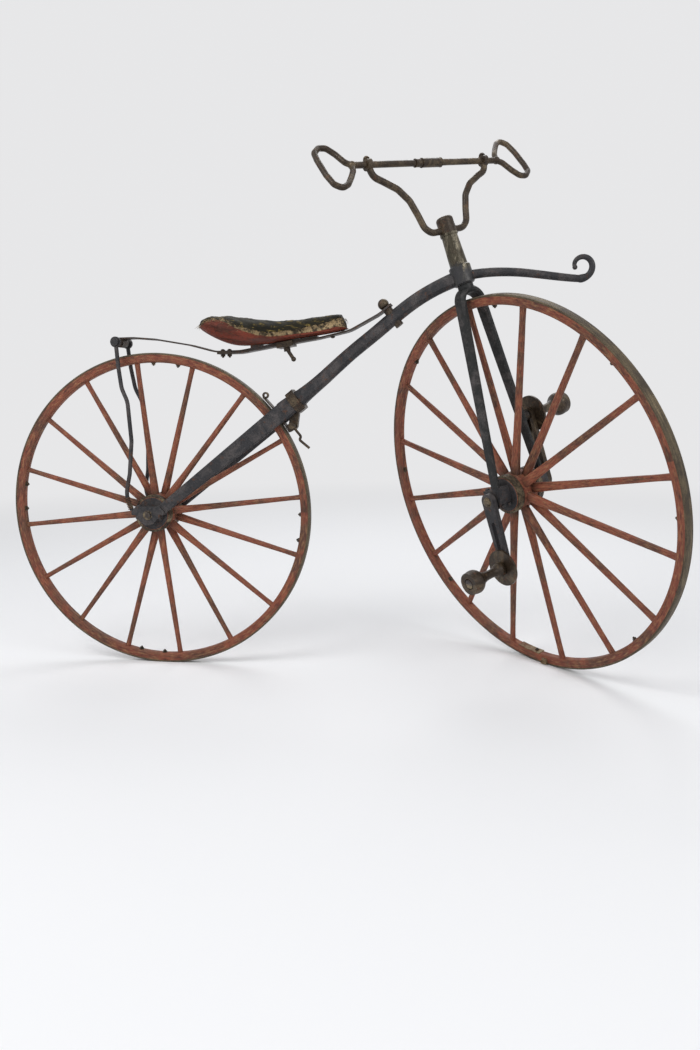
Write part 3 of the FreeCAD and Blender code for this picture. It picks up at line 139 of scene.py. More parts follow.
class VelocipedeColours(bpy.types.PropertyGroup):
    """Colours of the finishes."""
    paint: colour("Paint", (0.185, 0.050, 0.029), "Brick red paint of the wheels")
    # Fresh paint is partly paint that kept its orange red and partly painted highlight
    paint_bright: colour("Fresh paint", (0.255, 0.074, 0.040), "Paint that kept its orange red")
    paint_worn: colour("Worn paint", (0.085, 0.040, 0.027), "Paint rubbed down to a brown")
    wood: colour("Bare wood", (0.33, 0.185, 0.085), "Wood that shows through the paint")
    # Grime is dirt in the paint's pores; the same colour also paints shade where the spokes meet the nave
    grime: colour("Grime", (0.022, 0.016, 0.013), "Dirt in the corners and pores")
    iron: colour("Dark iron", (0.024, 0.024, 0.027), "Dark finish of the frame")
    fork_iron: colour("Black iron", (0.012, 0.013, 0.013), "Black finish of the fork")
    iron_worn: colour("Worn iron", (0.072, 0.063, 0.062), "Frame where its finish has worn pale")
    rust: colour("Rust", (0.125, 0.050, 0.022), "Rust that shows on the iron")
    brown_iron: colour("Brown iron", (0.034, 0.022, 0.013), "Rusted handlebar and fittings")
    brown_iron_worn: colour("Rubbed brown iron", (0.125, 0.090, 0.052), "Rusted iron where hands rubbed it")
    bronzed: colour("Bronzed iron", (0.055, 0.046, 0.028), "Olive brown iron of the head")
    bronzed_worn: colour("Rubbed bronzed iron", (0.30, 0.26, 0.185), "Pale rubbed parts of the head")
    head_foot: colour("Foot of the head", (0.034, 0.035, 0.040), "Blue-grey iron at the foot of the head")
    tyre: colour("Tyre", (0.085, 0.062, 0.033), "Weathered iron of the tyres")
    tyre_scuff: colour("Tyre scuffs", (0.28, 0.215, 0.125), "Scuffed and dusty parts of the tyres")
    leather: colour("Red leather", (0.20, 0.042, 0.024), "Leather of the saddle's pan")
    leather_worn: colour("Worn leather", (0.065, 0.022, 0.015), "Leather of the pan where it is cracked")
    cover: colour("Dark cover", (0.013, 0.011, 0.005), "Leather cover on the padding")
    cover_crease: colour("Creased cover", (0.0039, 0.0033, 0.0015), "Cover where it is dark with age")
    # Rubbed cover: rubbed wear, and painted highlights in gold streaks
    cover_worn: colour("Rubbed cover", (0.29, 0.205, 0.060), "Cover where it is rubbed pale")
    stuffing: colour("Stuffing", (0.50, 0.36, 0.19), "Stuffing that shows under the cover")
    floor: colour("Floor", (0.93, 0.93, 0.94), "Studio floor")
    backdrop: colour("Backdrop", (0.80, 0.80, 0.81), "Backdrop behind the object")
    daylight: colour("Daylight", (0.95, 0.97, 1.0), "Light that comes from all round")


def sizes():
    """The sizes that the scene holds."""
    return bpy.context.scene.velocipede_sizes


def colours():
    """The colours that the scene holds."""
    return bpy.context.scene.velocipede_colours


# Surfaces

# How far the UV map of each like grid is moved, and how near points are merged, in metres
LIKE_SHIFT, MERGE_DISTANCE = 3.37, 2e-6


def wave(along, around, seed):
    """An uneven height between about -1 and 1: the sum of five sine waves whose rates and shifts come from a
    seed, each 1.6 times as quick as the one before it, and weaker in turn."""
    rates = np.random.default_rng(seed).uniform(0.35, 1.0, (5, 3))
    total = 0.0
    for index, (first, second, shift) in enumerate(rates):
        rise = 1.6**index
        total = total + np.sin(along * first * rise + around * second * rise + shift * 40.0) / (1.0 + index)
    return total / 2.3


def into(place, points):
    """Points along a place's own directions, carried into the model's frame."""
    origin, directions = place
    return origin + np.asarray(points, float) @ directions


def ring(columns):
    """The angles of a closed ring of columns, the first one repeated at the end."""
    return np.linspace(0.0, 2.0 * math.pi, columns + 1)


def turned(profile, columns=48, sides=0):
    """A turned piece about Z: every (height, radius) pair goes round the axis. With sides, the radius at an
    angle is the distance to a regular polygon's side, so that the piece is a nut or a square head."""
    heights, radii = np.asarray(profile, float).T
    angle = ring(columns)
    stretch = np.ones_like(angle)
    if sides:
        corner = math.pi / sides
        stretch = math.cos(corner) / np.cos((angle % (2 * corner)) - corner)
    reach = radii[:, None] * stretch[None, :]
    height = np.broadcast_to(heights[:, None], reach.shape)
    return np.stack([reach * np.cos(angle), reach * np.sin(angle), height], -1)


def on_axes(grid, places, axes):
    """Copies of a grid about Z, one at each place along each axis."""
    places, axes = np.atleast_2d(places), np.atleast_2d(axes).astype(float)
    up = axes / np.linalg.norm(axes, axis=1, keepdims=True)
    spare = np.where(np.abs(up[:, 2:]) > 0.8, [[1.0, 0.0, 0.0]], [[0.0, 0.0, 1.0]])
    first = np.cross(spare, up)
    first /= np.linalg.norm(first, axis=1, keepdims=True)
    turn = np.stack([first, np.cross(up, first), up], 1)
    return places[:, None, None, :] + np.einsum("rck,nkj->nrcj", grid, turn)


def tube(path, radius, columns):
    """A round bar along a path: a circle square to the path at each point, closed to a point at the ends.
    The circles are measured from a spare direction, which no bar here follows."""
    path = np.asarray(path, float)
    ahead = np.gradient(path, axis=-2)
    ahead /= np.linalg.norm(ahead, axis=-1, keepdims=True)
    spare = np.array([0.31, 0.87, 0.39])
    across = np.cross(ahead, spare)
    across /= np.linalg.norm(across, axis=-1, keepdims=True)
    up = np.cross(across, ahead)
    angle = ring(columns)[:, None]
    radius = np.broadcast_to(radius, path.shape[:-1])[..., None, None]
    circles = np.cos(angle) * across[..., None, :] + np.sin(angle) * up[..., None, :]
    body = path[..., None, :] + radius * circles
    first = np.broadcast_to(path[..., :1, None, :], body[..., :1, :, :].shape)
    last = np.broadcast_to(path[..., -1:, None, :], body[..., :1, :, :].shape)
    return np.concatenate([first, body, last], -3)


def capped(grid):
    """A grid closed at both ends: its first and last rows are each drawn together to their mean."""
    first = np.broadcast_to(grid[:1].mean(1, keepdims=True), grid[:1].shape)
    last = np.broadcast_to(grid[-1:].mean(1, keepdims=True), grid[-1:].shape)
    return np.concatenate([first, grid, last])


def lengths_along(grid):
    """How far each row of a grid is from its first row, along the mean of its columns."""
    middle = grid.mean(axis=-2)
    steps = np.linalg.norm(np.diff(middle, axis=-2), axis=-1)
    return np.concatenate([np.zeros(steps.shape[:-1] + (1,)), np.cumsum(steps, -1)], -1)


def piece(name, grids, body, look, sharp=38.0):
    """A mesh piece from grids of points, which rides on a body and has a finish. A grid is rows by columns
    of points, with any number of like grids before them. Its UV map is (columns round, with a shift for each
    like grid; metres along the rows). Seams and poles are merged, and its faces are turned outwards."""
    points, faces, uvs, start = [], [], [], 0
    for grid in grids:
        grid = grid.reshape((-1,) + grid.shape[-3:])
        number, rows, columns = grid.shape[:3]
        index = np.arange(number * rows * columns).reshape(number, rows, columns) + start
        start = index[-1, -1, -1] + 1
        faces.append(np.stack([index[:, :-1, :-1], index[:, :-1, 1:], index[:, 1:, 1:], index[:, 1:, :-1]],
                              -1).reshape(-1, 4))
        around = np.broadcast_to(np.linspace(0.0, 1.0, columns), (number, rows, columns))
        around = around + np.arange(number)[:, None, None] * LIKE_SHIFT
        along = np.broadcast_to(lengths_along(grid)[..., None], (number, rows, columns))
        uvs.append(np.stack([around, along], -1).reshape(-1, 2))
        points.append(grid.reshape(-1, 3))
    points, faces, uvs = np.concatenate(points), np.concatenate(faces), np.concatenate(uvs)
    mesh = bpy.data.meshes.new(name)
    mesh.vertices.add(len(points))
    mesh.vertices.foreach_set("co", points.astype(np.float32).ravel())
    mesh.loops.add(faces.size)
    mesh.loops.foreach_set("vertex_index", faces.astype(np.int32).ravel())
    mesh.polygons.add(len(faces))
    mesh.polygons.foreach_set("loop_start", np.arange(0, faces.size, 4, dtype=np.int32))
    mesh.update(calc_edges=True)
    mesh.uv_layers.new(name="Along").data.foreach_set("uv", uvs[faces].astype(np.float32).ravel())
    work = bmesh.new()
    work.from_mesh(mesh)
    bmesh.ops.remove_doubles(work, verts=work.verts, dist=MERGE_DISTANCE)
    bmesh.ops.recalc_face_normals(work, faces=work.faces)
    work.to_mesh(mesh)
    work.free()
    mesh.shade_smooth()
    mesh.set_sharp_from_angle(angle=math.radians(sharp))
    mesh.materials.append(finish(look))
    made = bpy.data.objects.new(name, mesh)
    bpy.context.scene.collection.objects.link(made)
    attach(made, body)
    return made


# Finishes

def feed(socket, value):
    """Sets a socket to a value, or links another socket into it."""
    if isinstance(value, bpy.types.NodeSocket):
        socket.id_data.links.new(value, socket)
    else:
        socket.default_value = value


def node(tree, kind, inputs=None, **settings):
    """A node with its settings, and its inputs fed with values or other sockets."""
    made = tree.nodes.new(kind)
    for key, value in settings.items():
        setattr(made, key, value)
    for key, value in (inputs or {}).items():
        feed(made.inputs[key], value)
    return made


def noise(vector, scale, detail, roughness, distortion=0.0):
    """A noise height over a vector."""
    inputs = {"Vector": vector, "Scale": scale, "Detail": detail, "Roughness": roughness,
              "Distortion": distortion}
    return node(vector.id_data, "ShaderNodeTexNoise", inputs).outputs["Fac"]


def between(value, low, high, start=0.0, end=1.0):
    """A value mapped from low..high to start..end, and kept there."""
    inputs = {"Value": value, "From Min": low, "From Max": high, "To Min": start, "To Max": end}
    return node(value.id_data, "ShaderNodeMapRange", inputs).outputs["Result"]


def mixed(share, first, second):
    """Two colours mixed by a share."""
    first, second = (shade if isinstance(shade, bpy.types.NodeSocket) else (*shade, 1.0)
                     for shade in (first, second))
    return node(share.id_data, "ShaderNodeMix", {0: share, 6: first, 7: second}, data_type="RGBA").outputs[2]


def layered(shade, *layers):
    """A colour with layers over it. Each layer is a height, the two heights between which it comes in, its
    shares at these, and its colour."""
    for height, low, high, start, end, over in layers:
        shade = mixed(between(height, low, high, start, end), shade, over)
    return shade


def weighed(*parts):
    """The sum of some heights, each times its weight."""
    whole = 0.0
    for height, weight in parts:
        whole = node(height.id_data, "ShaderNodeMath", {0: height, 1: weight, 2: whole},
                     operation="MULTIPLY_ADD").outputs[0]
    return whole


def stretched(vector, scale):
    """A vector scaled along each axis, so that a pattern on it is drawn out where the scale is small."""
    return node(vector.id_data, "ShaderNodeMapping", {"Vector": vector, "Scale": scale}).outputs["Vector"]


def darker(shade, share):
    """A colour times a share."""
    return tuple(part * share for part in shade)


def finish_of(name, **constants):
    """An empty finish: its material, node tree, main shader and place on the object."""
    made = bpy.data.materials.new(name)
    made.use_nodes = True
    tree = made.node_tree
    shader = tree.nodes["Principled BSDF"]
    for key, value in constants.items():
        shader.inputs[key.replace("_", " ")].default_value = value
    place = node(tree, "ShaderNodeTexCoord").outputs["Object"]
    return made, tree, shader, place


def dressed(shader, shade, roughness, height, strength, distance):
    """Gives a finish its colour and its roughness, and lets a height shape the light on it."""
    inputs = {"Height": height, "Strength": strength, "Distance": distance}
    bump = node(shader.id_data, "ShaderNodeBump", inputs).outputs["Normal"]
    for key, value in {"Base Color": shade, "Roughness": roughness, "Normal": bump}.items():
        feed(shader.inputs[key], value)


def iron_finish(name, dark, worn, rust, foot=None, *, wear, rusting, gloss, metallic=0.2,
                streak=(1.0, 1.0, 1.0), foot_height=0.0):
    """Hand-forged iron: a dark skin rubbed pale in patches, rust in blotches, fine pits and scratches. Wear
    and rusting are the heights of the noise above which they show. Below the foot's height, the skin takes
    the foot's colour."""
    made, tree, shader, place = finish_of(name, Metallic=metallic, Specular_IOR_Level=0.4)
    drawn = stretched(place, streak)
    patches = noise(drawn, scale=24.0, detail=7.0, roughness=0.68, distortion=0.6)
    blotches = noise(place, scale=62.0, detail=7.0, roughness=0.70)
    pits = noise(place, scale=380.0, detail=4.0, roughness=0.6)
    scratches = noise(drawn, scale=150.0, detail=3.0, roughness=0.5)
    skin = layered(dark, (patches, wear - 0.04, wear + 0.13, 0.0, 1.0, worn),
                   (blotches, rusting - 0.03, rusting + 0.10, 0.0, 0.8, rust),
                   (pits, 0.36, 0.50, 0.7, 0.0, darker(dark, 0.3)), (scratches, 0.60, 0.70, 0.0, 0.45, worn))
    if foot:
        height = node(tree, "ShaderNodeSeparateXYZ", {"Vector": place}).outputs["Z"]
        ragged = between(patches, 0.3, 0.7, -12.0 * MM, 12.0 * MM)
        edge = weighed((height, 1.0), (ragged, 1.0))
        skin = layered(skin, (edge, foot_height - 6.0 * MM, foot_height + 6.0 * MM, 0.85, 0.0, foot))
    roughness = between(blotches, 0.3, 0.7, gloss - 0.1, gloss + 0.22)
    height = weighed((blotches, 0.8), (pits, 0.5))
    dressed(shader, skin, roughness, height, strength=0.6, distance=0.9 * MM)
    return made


def paint_finish(name, red, bright, worn, wood, grime, grain=(7.0, 14.0), bright_end=0.0):
    """Old paint on wood, whose grain runs along the UV map's length: a red paint that is orange red in spots
    and towards the start of its length, partly paint that kept its colour and partly painted highlight, is
    rubbed brown in patches and streaks, is bare or dirty along the fine grain, and is darker over the first
    few centimetres of its length, painted shade which on a spoke lies where it meets the nave."""
    made, tree, shader, place = finish_of(name, Specular_IOR_Level=0.3)
    flat = node(tree, "ShaderNodeUVMap", uv_map="Along").outputs["UV"]
    along = node(tree, "ShaderNodeSeparateXYZ", {"Vector": flat}).outputs["Y"]
    drawn = stretched(flat, (*grain, 1.0))
    fine_drawn = stretched(flat, (grain[0] * 3.2, grain[1] * 4.0, 1.0))
    streaks = noise(drawn, scale=1.0, detail=6.0, roughness=0.65, distortion=0.25)
    fine = noise(fine_drawn, scale=1.0, detail=5.0, roughness=0.65)
    patches = noise(place, scale=9.0, detail=6.0, roughness=0.62, distortion=0.6)
    spots = noise(place, scale=33.0, detail=6.0, roughness=0.68, distortion=0.3)
    chips = noise(place, scale=110.0, detail=5.0, roughness=0.7)
    # Where kept is high the paint is orange red: partly paint that kept its colour, partly painted highlight
    kept = weighed((between(spots, 0.50, 0.62, 0.0, 0.75), 1.0),
                   (between(along, 0.02, 0.24, bright_end, 0.0), 1.0))
    # The last layer is painted shade: it darkens the first few centimetres of the length, which on a spoke is
    # where it meets the nave
    skin = layered(mixed(kept, red, bright), (patches, 0.47, 0.60, 0.0, 0.85, worn),
                   (streaks, 0.53, 0.64, 0.0, 0.85, worn), (fine, 0.50, 0.66, 0.0, 0.62, wood),
                   (fine, 0.34, 0.45, 0.75, 0.0, grime), (along, 0.008, 0.035, 0.6, 0.0, grime))
    height = weighed((streaks, 0.8), (chips, 0.35))
    roughness = between(streaks, 0.3, 0.75, 0.48, 0.78)
    dressed(shader, skin, roughness, height, strength=0.6, distance=1.0 * MM)
    return made


def tyre_finish(name, dark, scuff, rust):
    """A worn iron tyre: scuffs drawn out round the wheel, rust in patches, and fine pits."""
    made, tree, shader, place = finish_of(name, Metallic=0.25)
    flat = node(tree, "ShaderNodeUVMap", uv_map="Along").outputs["UV"]
    drawn = stretched(flat, (22.0, 14.0, 1.0))
    scuffs = noise(drawn, scale=1.0, detail=7.0, roughness=0.7, distortion=0.3)
    patches = noise(place, scale=21.0, detail=6.0, roughness=0.65, distortion=0.6)
    pits = noise(place, scale=330.0, detail=4.0, roughness=0.6)
    skin = layered(dark, (patches, 0.42, 0.62, 0.0, 1.0, rust), (scuffs, 0.50, 0.68, 0.0, 0.85, scuff),
                   (pits, 0.35, 0.5, 0.6, 0.0, darker(dark, 0.35)))
    height = weighed((scuffs, 0.6), (pits, 0.6))
    roughness = between(scuffs, 0.3, 0.7, 0.48, 0.75)
    dressed(shader, skin, roughness, height, strength=0.5, distance=0.6 * MM)
    return made


def leather_finish(name, base, worn, rubbed, crack, rubbed_and_highlight_level, gloss):
    """Old leather: cracks between small plates, dark wear in patches, and pale streaks along the saddle,
    which are rubbed wear and, on the dark cover, also painted highlights. The plates are cells whose places
    are shifted by a noise, and crack is the width of the gaps."""
    made, tree, shader, place = finish_of(name, Specular_IOR_Level=0.16)
    drawn = stretched(place, (0.4, 1.0, 1.3))
    warp = node(tree, "ShaderNodeTexNoise", {"Vector": place, "Scale": 35.0, "Detail": 3.0}).outputs["Color"]
    bent = node(tree, "ShaderNodeVectorMath", {0: warp, 1: (12.0 * MM,) * 3, 2: drawn},
                operation="MULTIPLY_ADD").outputs[0]
    plates = node(tree, "ShaderNodeTexVoronoi", {"Vector": bent, "Scale": 150.0},
                  feature="DISTANCE_TO_EDGE").outputs["Distance"]
    patches = noise(drawn, scale=24.0, detail=6.0, roughness=0.65, distortion=0.6)
    streaks = noise(drawn, scale=110.0, detail=6.0, roughness=0.72, distortion=0.5)
    fine = noise(place, scale=500.0, detail=3.0, roughness=0.6)
    # The pale streaks are rubbed wear; on the dark cover they are also painted highlights
    skin = layered(base, (patches, 0.42, 0.64, 0.0, 1.0, worn),
                   (streaks, rubbed_and_highlight_level - 0.02, rubbed_and_highlight_level + 0.09, 0.0, 0.9, rubbed),
                   (plates, 0.0, crack, 0.8, 0.0, darker(worn, 0.25)))
    roughness = between(streaks, 0.3, 0.7, gloss, gloss + 0.3)
    height = weighed((between(plates, 0.0, crack * 1.5), 0.5), (streaks, 0.6), (fine, 0.15))
    dressed(shader, skin, roughness, height, strength=0.7, distance=0.9 * MM)
    return made


def stuffing_finish(name, pale, grime):
    """Loose stuffing: pale fibres with near-black patches, which are painted shade of the gaps between tufts,
    and dark in fine streaks between the fibres.
    """
    made, _, shader, place = finish_of(name)
    mottle = noise(place, scale=95.0, detail=6.0, roughness=0.72)
    strands = noise(stretched(place, (1.0, 1.0, 0.18)), scale=900.0, detail=3.0, roughness=0.6)
    # The near-black patches are painted shade of the gaps between tufts
    skin = layered(pale, (mottle, 0.47, 0.54, 0.0, 1.0, darker(pale, 0.10)),
                   (strands, 0.45, 0.62, 0.0, 0.7, grime))
    dressed(shader, skin, 0.9, strands, strength=0.6, distance=0.8 * MM)
    return made


PAINT = "paint paint_bright paint_worn wood grime"
# Each finish with what makes it, the colours that it takes, and its settings
FINISHES = {
    "dark_iron": (iron_finish, "iron iron_worn rust", dict(wear=0.50, rusting=0.60, gloss=0.50)),
    "fork_iron": (iron_finish, "fork_iron iron_worn brown_iron", dict(wear=0.54, rusting=0.62, gloss=0.46)),
    "head_iron": (iron_finish, "bronzed bronzed_worn brown_iron head_foot",
                  dict(wear=0.52, rusting=0.54, gloss=0.34, metallic=0.4, streak=(2.2, 2.2, 0.5),
                       foot_height=104.0 * MM)),
    "brown_iron": (iron_finish, "brown_iron brown_iron_worn rust",
                   dict(wear=0.52, rusting=0.60, gloss=0.36, metallic=0.3)),
    "spring_iron": (iron_finish, "brown_iron iron_worn rust",
                    dict(wear=0.48, rusting=0.58, gloss=0.42, streak=(0.4, 1.0, 1.0))),
    "band_iron": (iron_finish, "brown_iron tyre_scuff bronzed", dict(wear=0.52, rusting=0.52, gloss=0.52)),
    "bare_steel": (iron_finish, "iron_worn tyre_scuff brown_iron",
                   dict(wear=0.50, rusting=0.50, gloss=0.40, metallic=0.5)),
    "rusty_wire": (iron_finish, "rust tyre_scuff brown_iron", dict(wear=0.45, rusting=0.60, gloss=0.6)),
    "spoke_paint": (paint_finish, PAINT, dict(bright_end=0.9)),
    "nave_paint": (paint_finish, PAINT, dict(grain=(16.0, 60.0))),
    "rim_paint": (paint_finish, PAINT, dict(grain=(9.0, 12.0))),
    "tyre_iron": (tyre_finish, "tyre tyre_scuff brown_iron", {}),
    "red_leather": (leather_finish, "leather leather_worn brown_iron_worn",
                    dict(crack=0.05, rubbed_and_highlight_level=0.60, gloss=0.42)),
    # The dark cover's pale streaks are rubbed wear and painted highlights
    "dark_cover": (leather_finish, "cover cover_crease cover_worn",
                   dict(crack=0.04, rubbed_and_highlight_level=0.57, gloss=0.52)),
    "stuffing": (stuffing_finish, "stuffing grime", {}),
}
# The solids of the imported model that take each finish
SOLIDS = {
    "dark_iron": "backbone leg_rest stay_cross_bolt rear_fork_arm_left rear_fork_arm_right "
                 "rear_bearing_cap_left rear_bearing_cap_right saddle_stay_left saddle_stay_right "
                 "front_bearing_left front_bearing_right crank_right",
    "fork_iron": "fork_crown fork_blade_left fork_blade_right",
    "head_iron": "head_socket",
    "brown_iron": "seat_bolt saddle_clamp clamp_screw brake_collar brake_shoe brake_rod brake_pivot "
                  "handlebar_bracket handlebar handlebar_sleeve steering_cap front_felloe front_nave "
                  "front_spokes crank_left pedal_left pedal_right rear_felloe rear_nave rear_spokes",
    "spring_iron": "rear_spring main_spring saddle_strap",
    "band_iron": "front_tyre front_nave_bands rear_tyre rear_nave_bands",
    "bare_steel": "front_axle pedal_pin_left pedal_pin_right rear_axle",
    "red_leather": "saddle_pan",
    "dark_cover": "saddle_cushion",
}


def finish(name):
    """A finish by its name, made when it is first asked for."""
    if name not in bpy.data.materials:
        make, shades, settings = FINISHES[name]
        make(name, *(tuple(getattr(colours(), shade)) for shade in shades.split()), **settings)
    return bpy.data.materials[name]


class VELOCIPEDE_OT_finishes(bpy.types.Operator):
    """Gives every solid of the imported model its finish"""
    bl_idname = "velocipede.finishes"
    bl_label = "Finish the solids"

    def execute(self, context):
        named = {solid: name for name, solids in SOLIDS.items() for solid in solids.split()}
        missing = set(frame["nodes"]) - set(named)
        if missing:
            raise RuntimeError(f"these solids have no finish: {sorted(missing)}")
        for key, solid in frame["nodes"].items():
            solid.data.materials.clear()
            solid.data.materials.append(finish(named[key]))
        return {"FINISHED"}


# Wheels

# The angle of each wheel's first spoke in degrees, and the width of its spokes' roots in millimetres
REAR_PHASE, FRONT_PHASE = 5.65, 18.35
REAR_ROOT, FRONT_ROOT = 20.0, 24.0
# Seeds of the tyres' unevenness
REAR_SEED, FRONT_SEED = 12, 24
# Shares of a spoke's length with its width there as a share of the root's, and its depth in millimetres
SPOKE_WIDTHS = ((0.0, 1.0), (0.06, 1.0), (0.14, 0.90), (0.28, 0.78), (0.5, 0.70), (0.72, 0.64), (0.9, 0.58),
                (0.96, 0.60), (1.0, 0.66))
SPOKE_DEPTHS = (16.0, 15.8, 14.6, 13.6, 13.0, 12.2, 11.4, 11.6, 12.2)
# The power of a spoke's oval section, of which 2 is an ellipse, and how much its size wanders
SPOKE_POWER, SPOKE_WANDER = 2.5, 0.035
# How far a spoke goes into the nave and into the felloe, in millimetres
IN_NAVE, IN_FELLOE = 8.0, 1.2


def wheel_angles(phase, count):
    """The angles of a row of like things round a wheel, from forward towards up."""
    return np.radians(phase + np.arange(count) * 360.0 / count)


def round_wheel(place, angles, outward, aside, turned_up):
    """Points of like pieces round a wheel: outward along each angle, aside along the axle, and turned_up
    square to both."""
    angles = angles.reshape(-1, 1, 1)
    x = np.cos(angles) * outward - np.sin(angles) * turned_up
    z = np.sin(angles) * outward + np.cos(angles) * turned_up
    return into(place, np.stack(np.broadcast_arrays(x, aside, z), -1))


def spokes(place, radius, root, phase):
    """The spokes: an oval drawn from the nave to the felloe. Its width follows a row of shares that swells at
    the root, its depth another, and each spoke differs a little from the next."""
    size = sizes()
    count, rows, columns = size.spoke_count, 34, 20
    share = np.linspace(0.0, 1.0, rows)
    start = size.nave_radius - IN_NAVE * MM
    end = radius - size.tyre_thickness - size.felloe_depth + IN_FELLOE * MM
    at, widths = np.array(SPOKE_WIDTHS).T
    wide = np.interp(share, at, widths) * root * MM / 2.0
    deep = np.interp(share, at, SPOKE_DEPTHS) * MM / 2.0
    index = np.arange(count)
    uneven = 1.0 + SPOKE_WANDER * wave(share[None, :] * 9.0, index[:, None] * 3.1, 5)
    angle = ring(columns) + math.pi
    oval = (np.abs(np.cos(angle))**SPOKE_POWER + np.abs(np.sin(angle))**SPOKE_POWER)**(-1.0 / SPOKE_POWER)
    side = np.where(index % 2, 1.0, -1.0)[:, None, None] * size.spoke_stagger * (1.0 - share)[None, :, None]
    outward = (start + (end - start) * share)[None, :, None]
    scale = uneven[:, :, None] * oval
    turned_up = scale * np.cos(angle) * wide[None, :, None]
    aside = side + scale * np.sin(angle) * deep[None, :, None]
    return round_wheel(place, wheel_angles(phase, count), outward, aside, turned_up)


def nave(place):
    """The turned nave: a crown with a bead at each edge between the seats of the bands. Its profile goes from
    the left end to the middle in millimetres, and is mirrored from there."""
    size = sizes()
    half, crown, seat, edge = size.nave_half / MM, size.nave_radius / MM, size.band_radius / MM, 22.0
    left = [(half - 5.0, 12.3), (half - 5.0, 29.5), (half - 4.0, 31.0), (half - 0.6, 31.4), (half, 32.4),
            (half, seat - 0.8), (half - 0.8, seat), (edge + 0.4, seat), (edge, seat + 1.0),
            (edge, crown - 0.8), (edge - 0.8, crown), (edge - 4.0, crown), (edge - 4.8, crown - 0.8),
            (edge - 5.6, crown)]
    left += [(step, crown + 0.35 + 0.4 * math.cos(step / 17.0 * math.pi / 2.0)) for step in (12.0, 6.0)]
    profile = left + [(0.0, crown + 0.75)] + [(-height, reach) for height, reach in reversed(left)]
    origin, directions = place
    return on_axes(turned(np.array(profile + profile[:1]) * MM, 72), origin, directions[1])


def nave_plates(place):
    """The thin iron plates on the nave's two ends, round the axle and inside the bands."""
    size = sizes()
    low, high, inner, outer = 0.1, 1.3, 13.0, size.band_radius / MM - 1.2
    profile = ((low, inner), (high, inner), (high, outer - 1.0), (low, outer), (low, inner))
    origin, directions = place
    side = np.array([[1.0], [-1.0]]) * directions[1]
    return on_axes(turned(np.array(profile) * MM), origin + side * size.nave_half, side)


def hoop(place, profile, rows, uneven=0.0, seed=0):
    """A closed band round a wheel: a cross-section of (radius, aside) pairs goes round the axle, and its
    radius varies by an uneven amount as in hand work."""
    radii, asides = np.asarray(profile, float).T
    angle = np.linspace(0.0, 2.0 * math.pi, rows + 1)[:, None]
    wander = wave(np.sin(angle) * 5.0, np.cos(angle) * 5.0, seed) * uneven
    reach = radii[None, :] + wander
    aside = np.broadcast_to(asides, reach.shape)
    return into(place, np.stack([reach * np.cos(angle), aside, reach * np.sin(angle)], -1))[None]


def felloe(place, radius):
    """The wooden rim: a square-backed section with rounded inner edges."""
    size = sizes()
    outer, half, soft = radius - size.tyre_thickness, size.felloe_width / 2.0, size.felloe_rounding
    inner = outer - size.felloe_depth
    quarter = np.linspace(0.0, math.pi / 2.0, 6)
    right = [(inner + 2.2 * soft, half)]
    right += [(inner + soft - soft * math.sin(t), half - soft + soft * math.cos(t)) for t in quarter]
    left = [(reach, -aside) for reach, aside in reversed(right)]
    profile = [(outer, -half), (outer, 0.0), (outer, half)] + right + left + [(outer, -half)]
    return hoop(place, profile, 240)


def tyre(place, radius, seed):
    """The iron tyre: a flat band with corners worn round."""
    size = sizes()
    half, worn = size.tyre_width / 2.0, 1.5 * MM
    inner = radius - size.tyre_thickness + 0.05 * MM
    right = [(inner, half - 0.4 * MM), (inner + 0.5 * MM, half), (radius - worn, half),
             (radius - 0.45 * MM, half - 0.5 * MM), (radius - 0.1 * MM, half - worn)]
    left = [(reach, -aside) for reach, aside in reversed(right)]
    return hoop(place, left[-1:] + right + [(radius, 0.0)] + left, 288, 0.12 * MM, seed)


def make_wheel(name, place, radius, root, phase, seed):
    """Makes a wheel's wooden spokes and nave, its felloe and its tyre, in place of the plain solids."""
    body = f"{name}_wheel"
    wood = piece(f"{name}_painted_spokes", [spokes(place, radius, root, phase)], body,
                 "spoke_paint")
    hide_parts(f"{name}_spokes")
    hub = piece(f"{name}_painted_nave", [nave(place)], body, "nave_paint")
    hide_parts(f"{name}_nave")
    piece(f"{name}_nave_plates", [nave_plates(place)], body, "dark_iron")
    rim = piece(f"{name}_painted_felloe", [felloe(place, radius)], body, "rim_paint")
    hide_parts(f"{name}_felloe")
    band = piece(f"{name}_worn_tyre", [tyre(place, radius, seed)], body, "tyre_iron")
    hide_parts(f"{name}_tyre")


class VELOCIPEDE_OT_rear_wheel(bpy.types.Operator):
    """Builds the rear wheel's nave, spokes, felloe and tyre"""
    bl_idname = "velocipede.rear_wheel"
    bl_label = "Rear wheel"

    def execute(self, context):
        make_wheel("rear", REAR, sizes().rear_radius, REAR_ROOT, REAR_PHASE, REAR_SEED)
        return {"FINISHED"}


class VELOCIPEDE_OT_front_wheel(bpy.types.Operator):
    """Builds the front wheel's nave, spokes, felloe and tyre"""
    bl_idname = "velocipede.front_wheel"
    bl_label = "Front wheel"

    def execute(self, context):
        make_wheel("front", FRONT, sizes().front_radius, FRONT_ROOT, FRONT_PHASE, FRONT_SEED)
        return {"FINISHED"}


# Saddle

# The saddle's tail ahead of the rear axle, its length, half width, base and height, in millimetres
SADDLE_TAIL, SADDLE_LONG, SADDLE_HALF, SADDLE_BASE, SADDLE_HIGH = 137.0, 360.0, 84.0, 404.0, 72.0
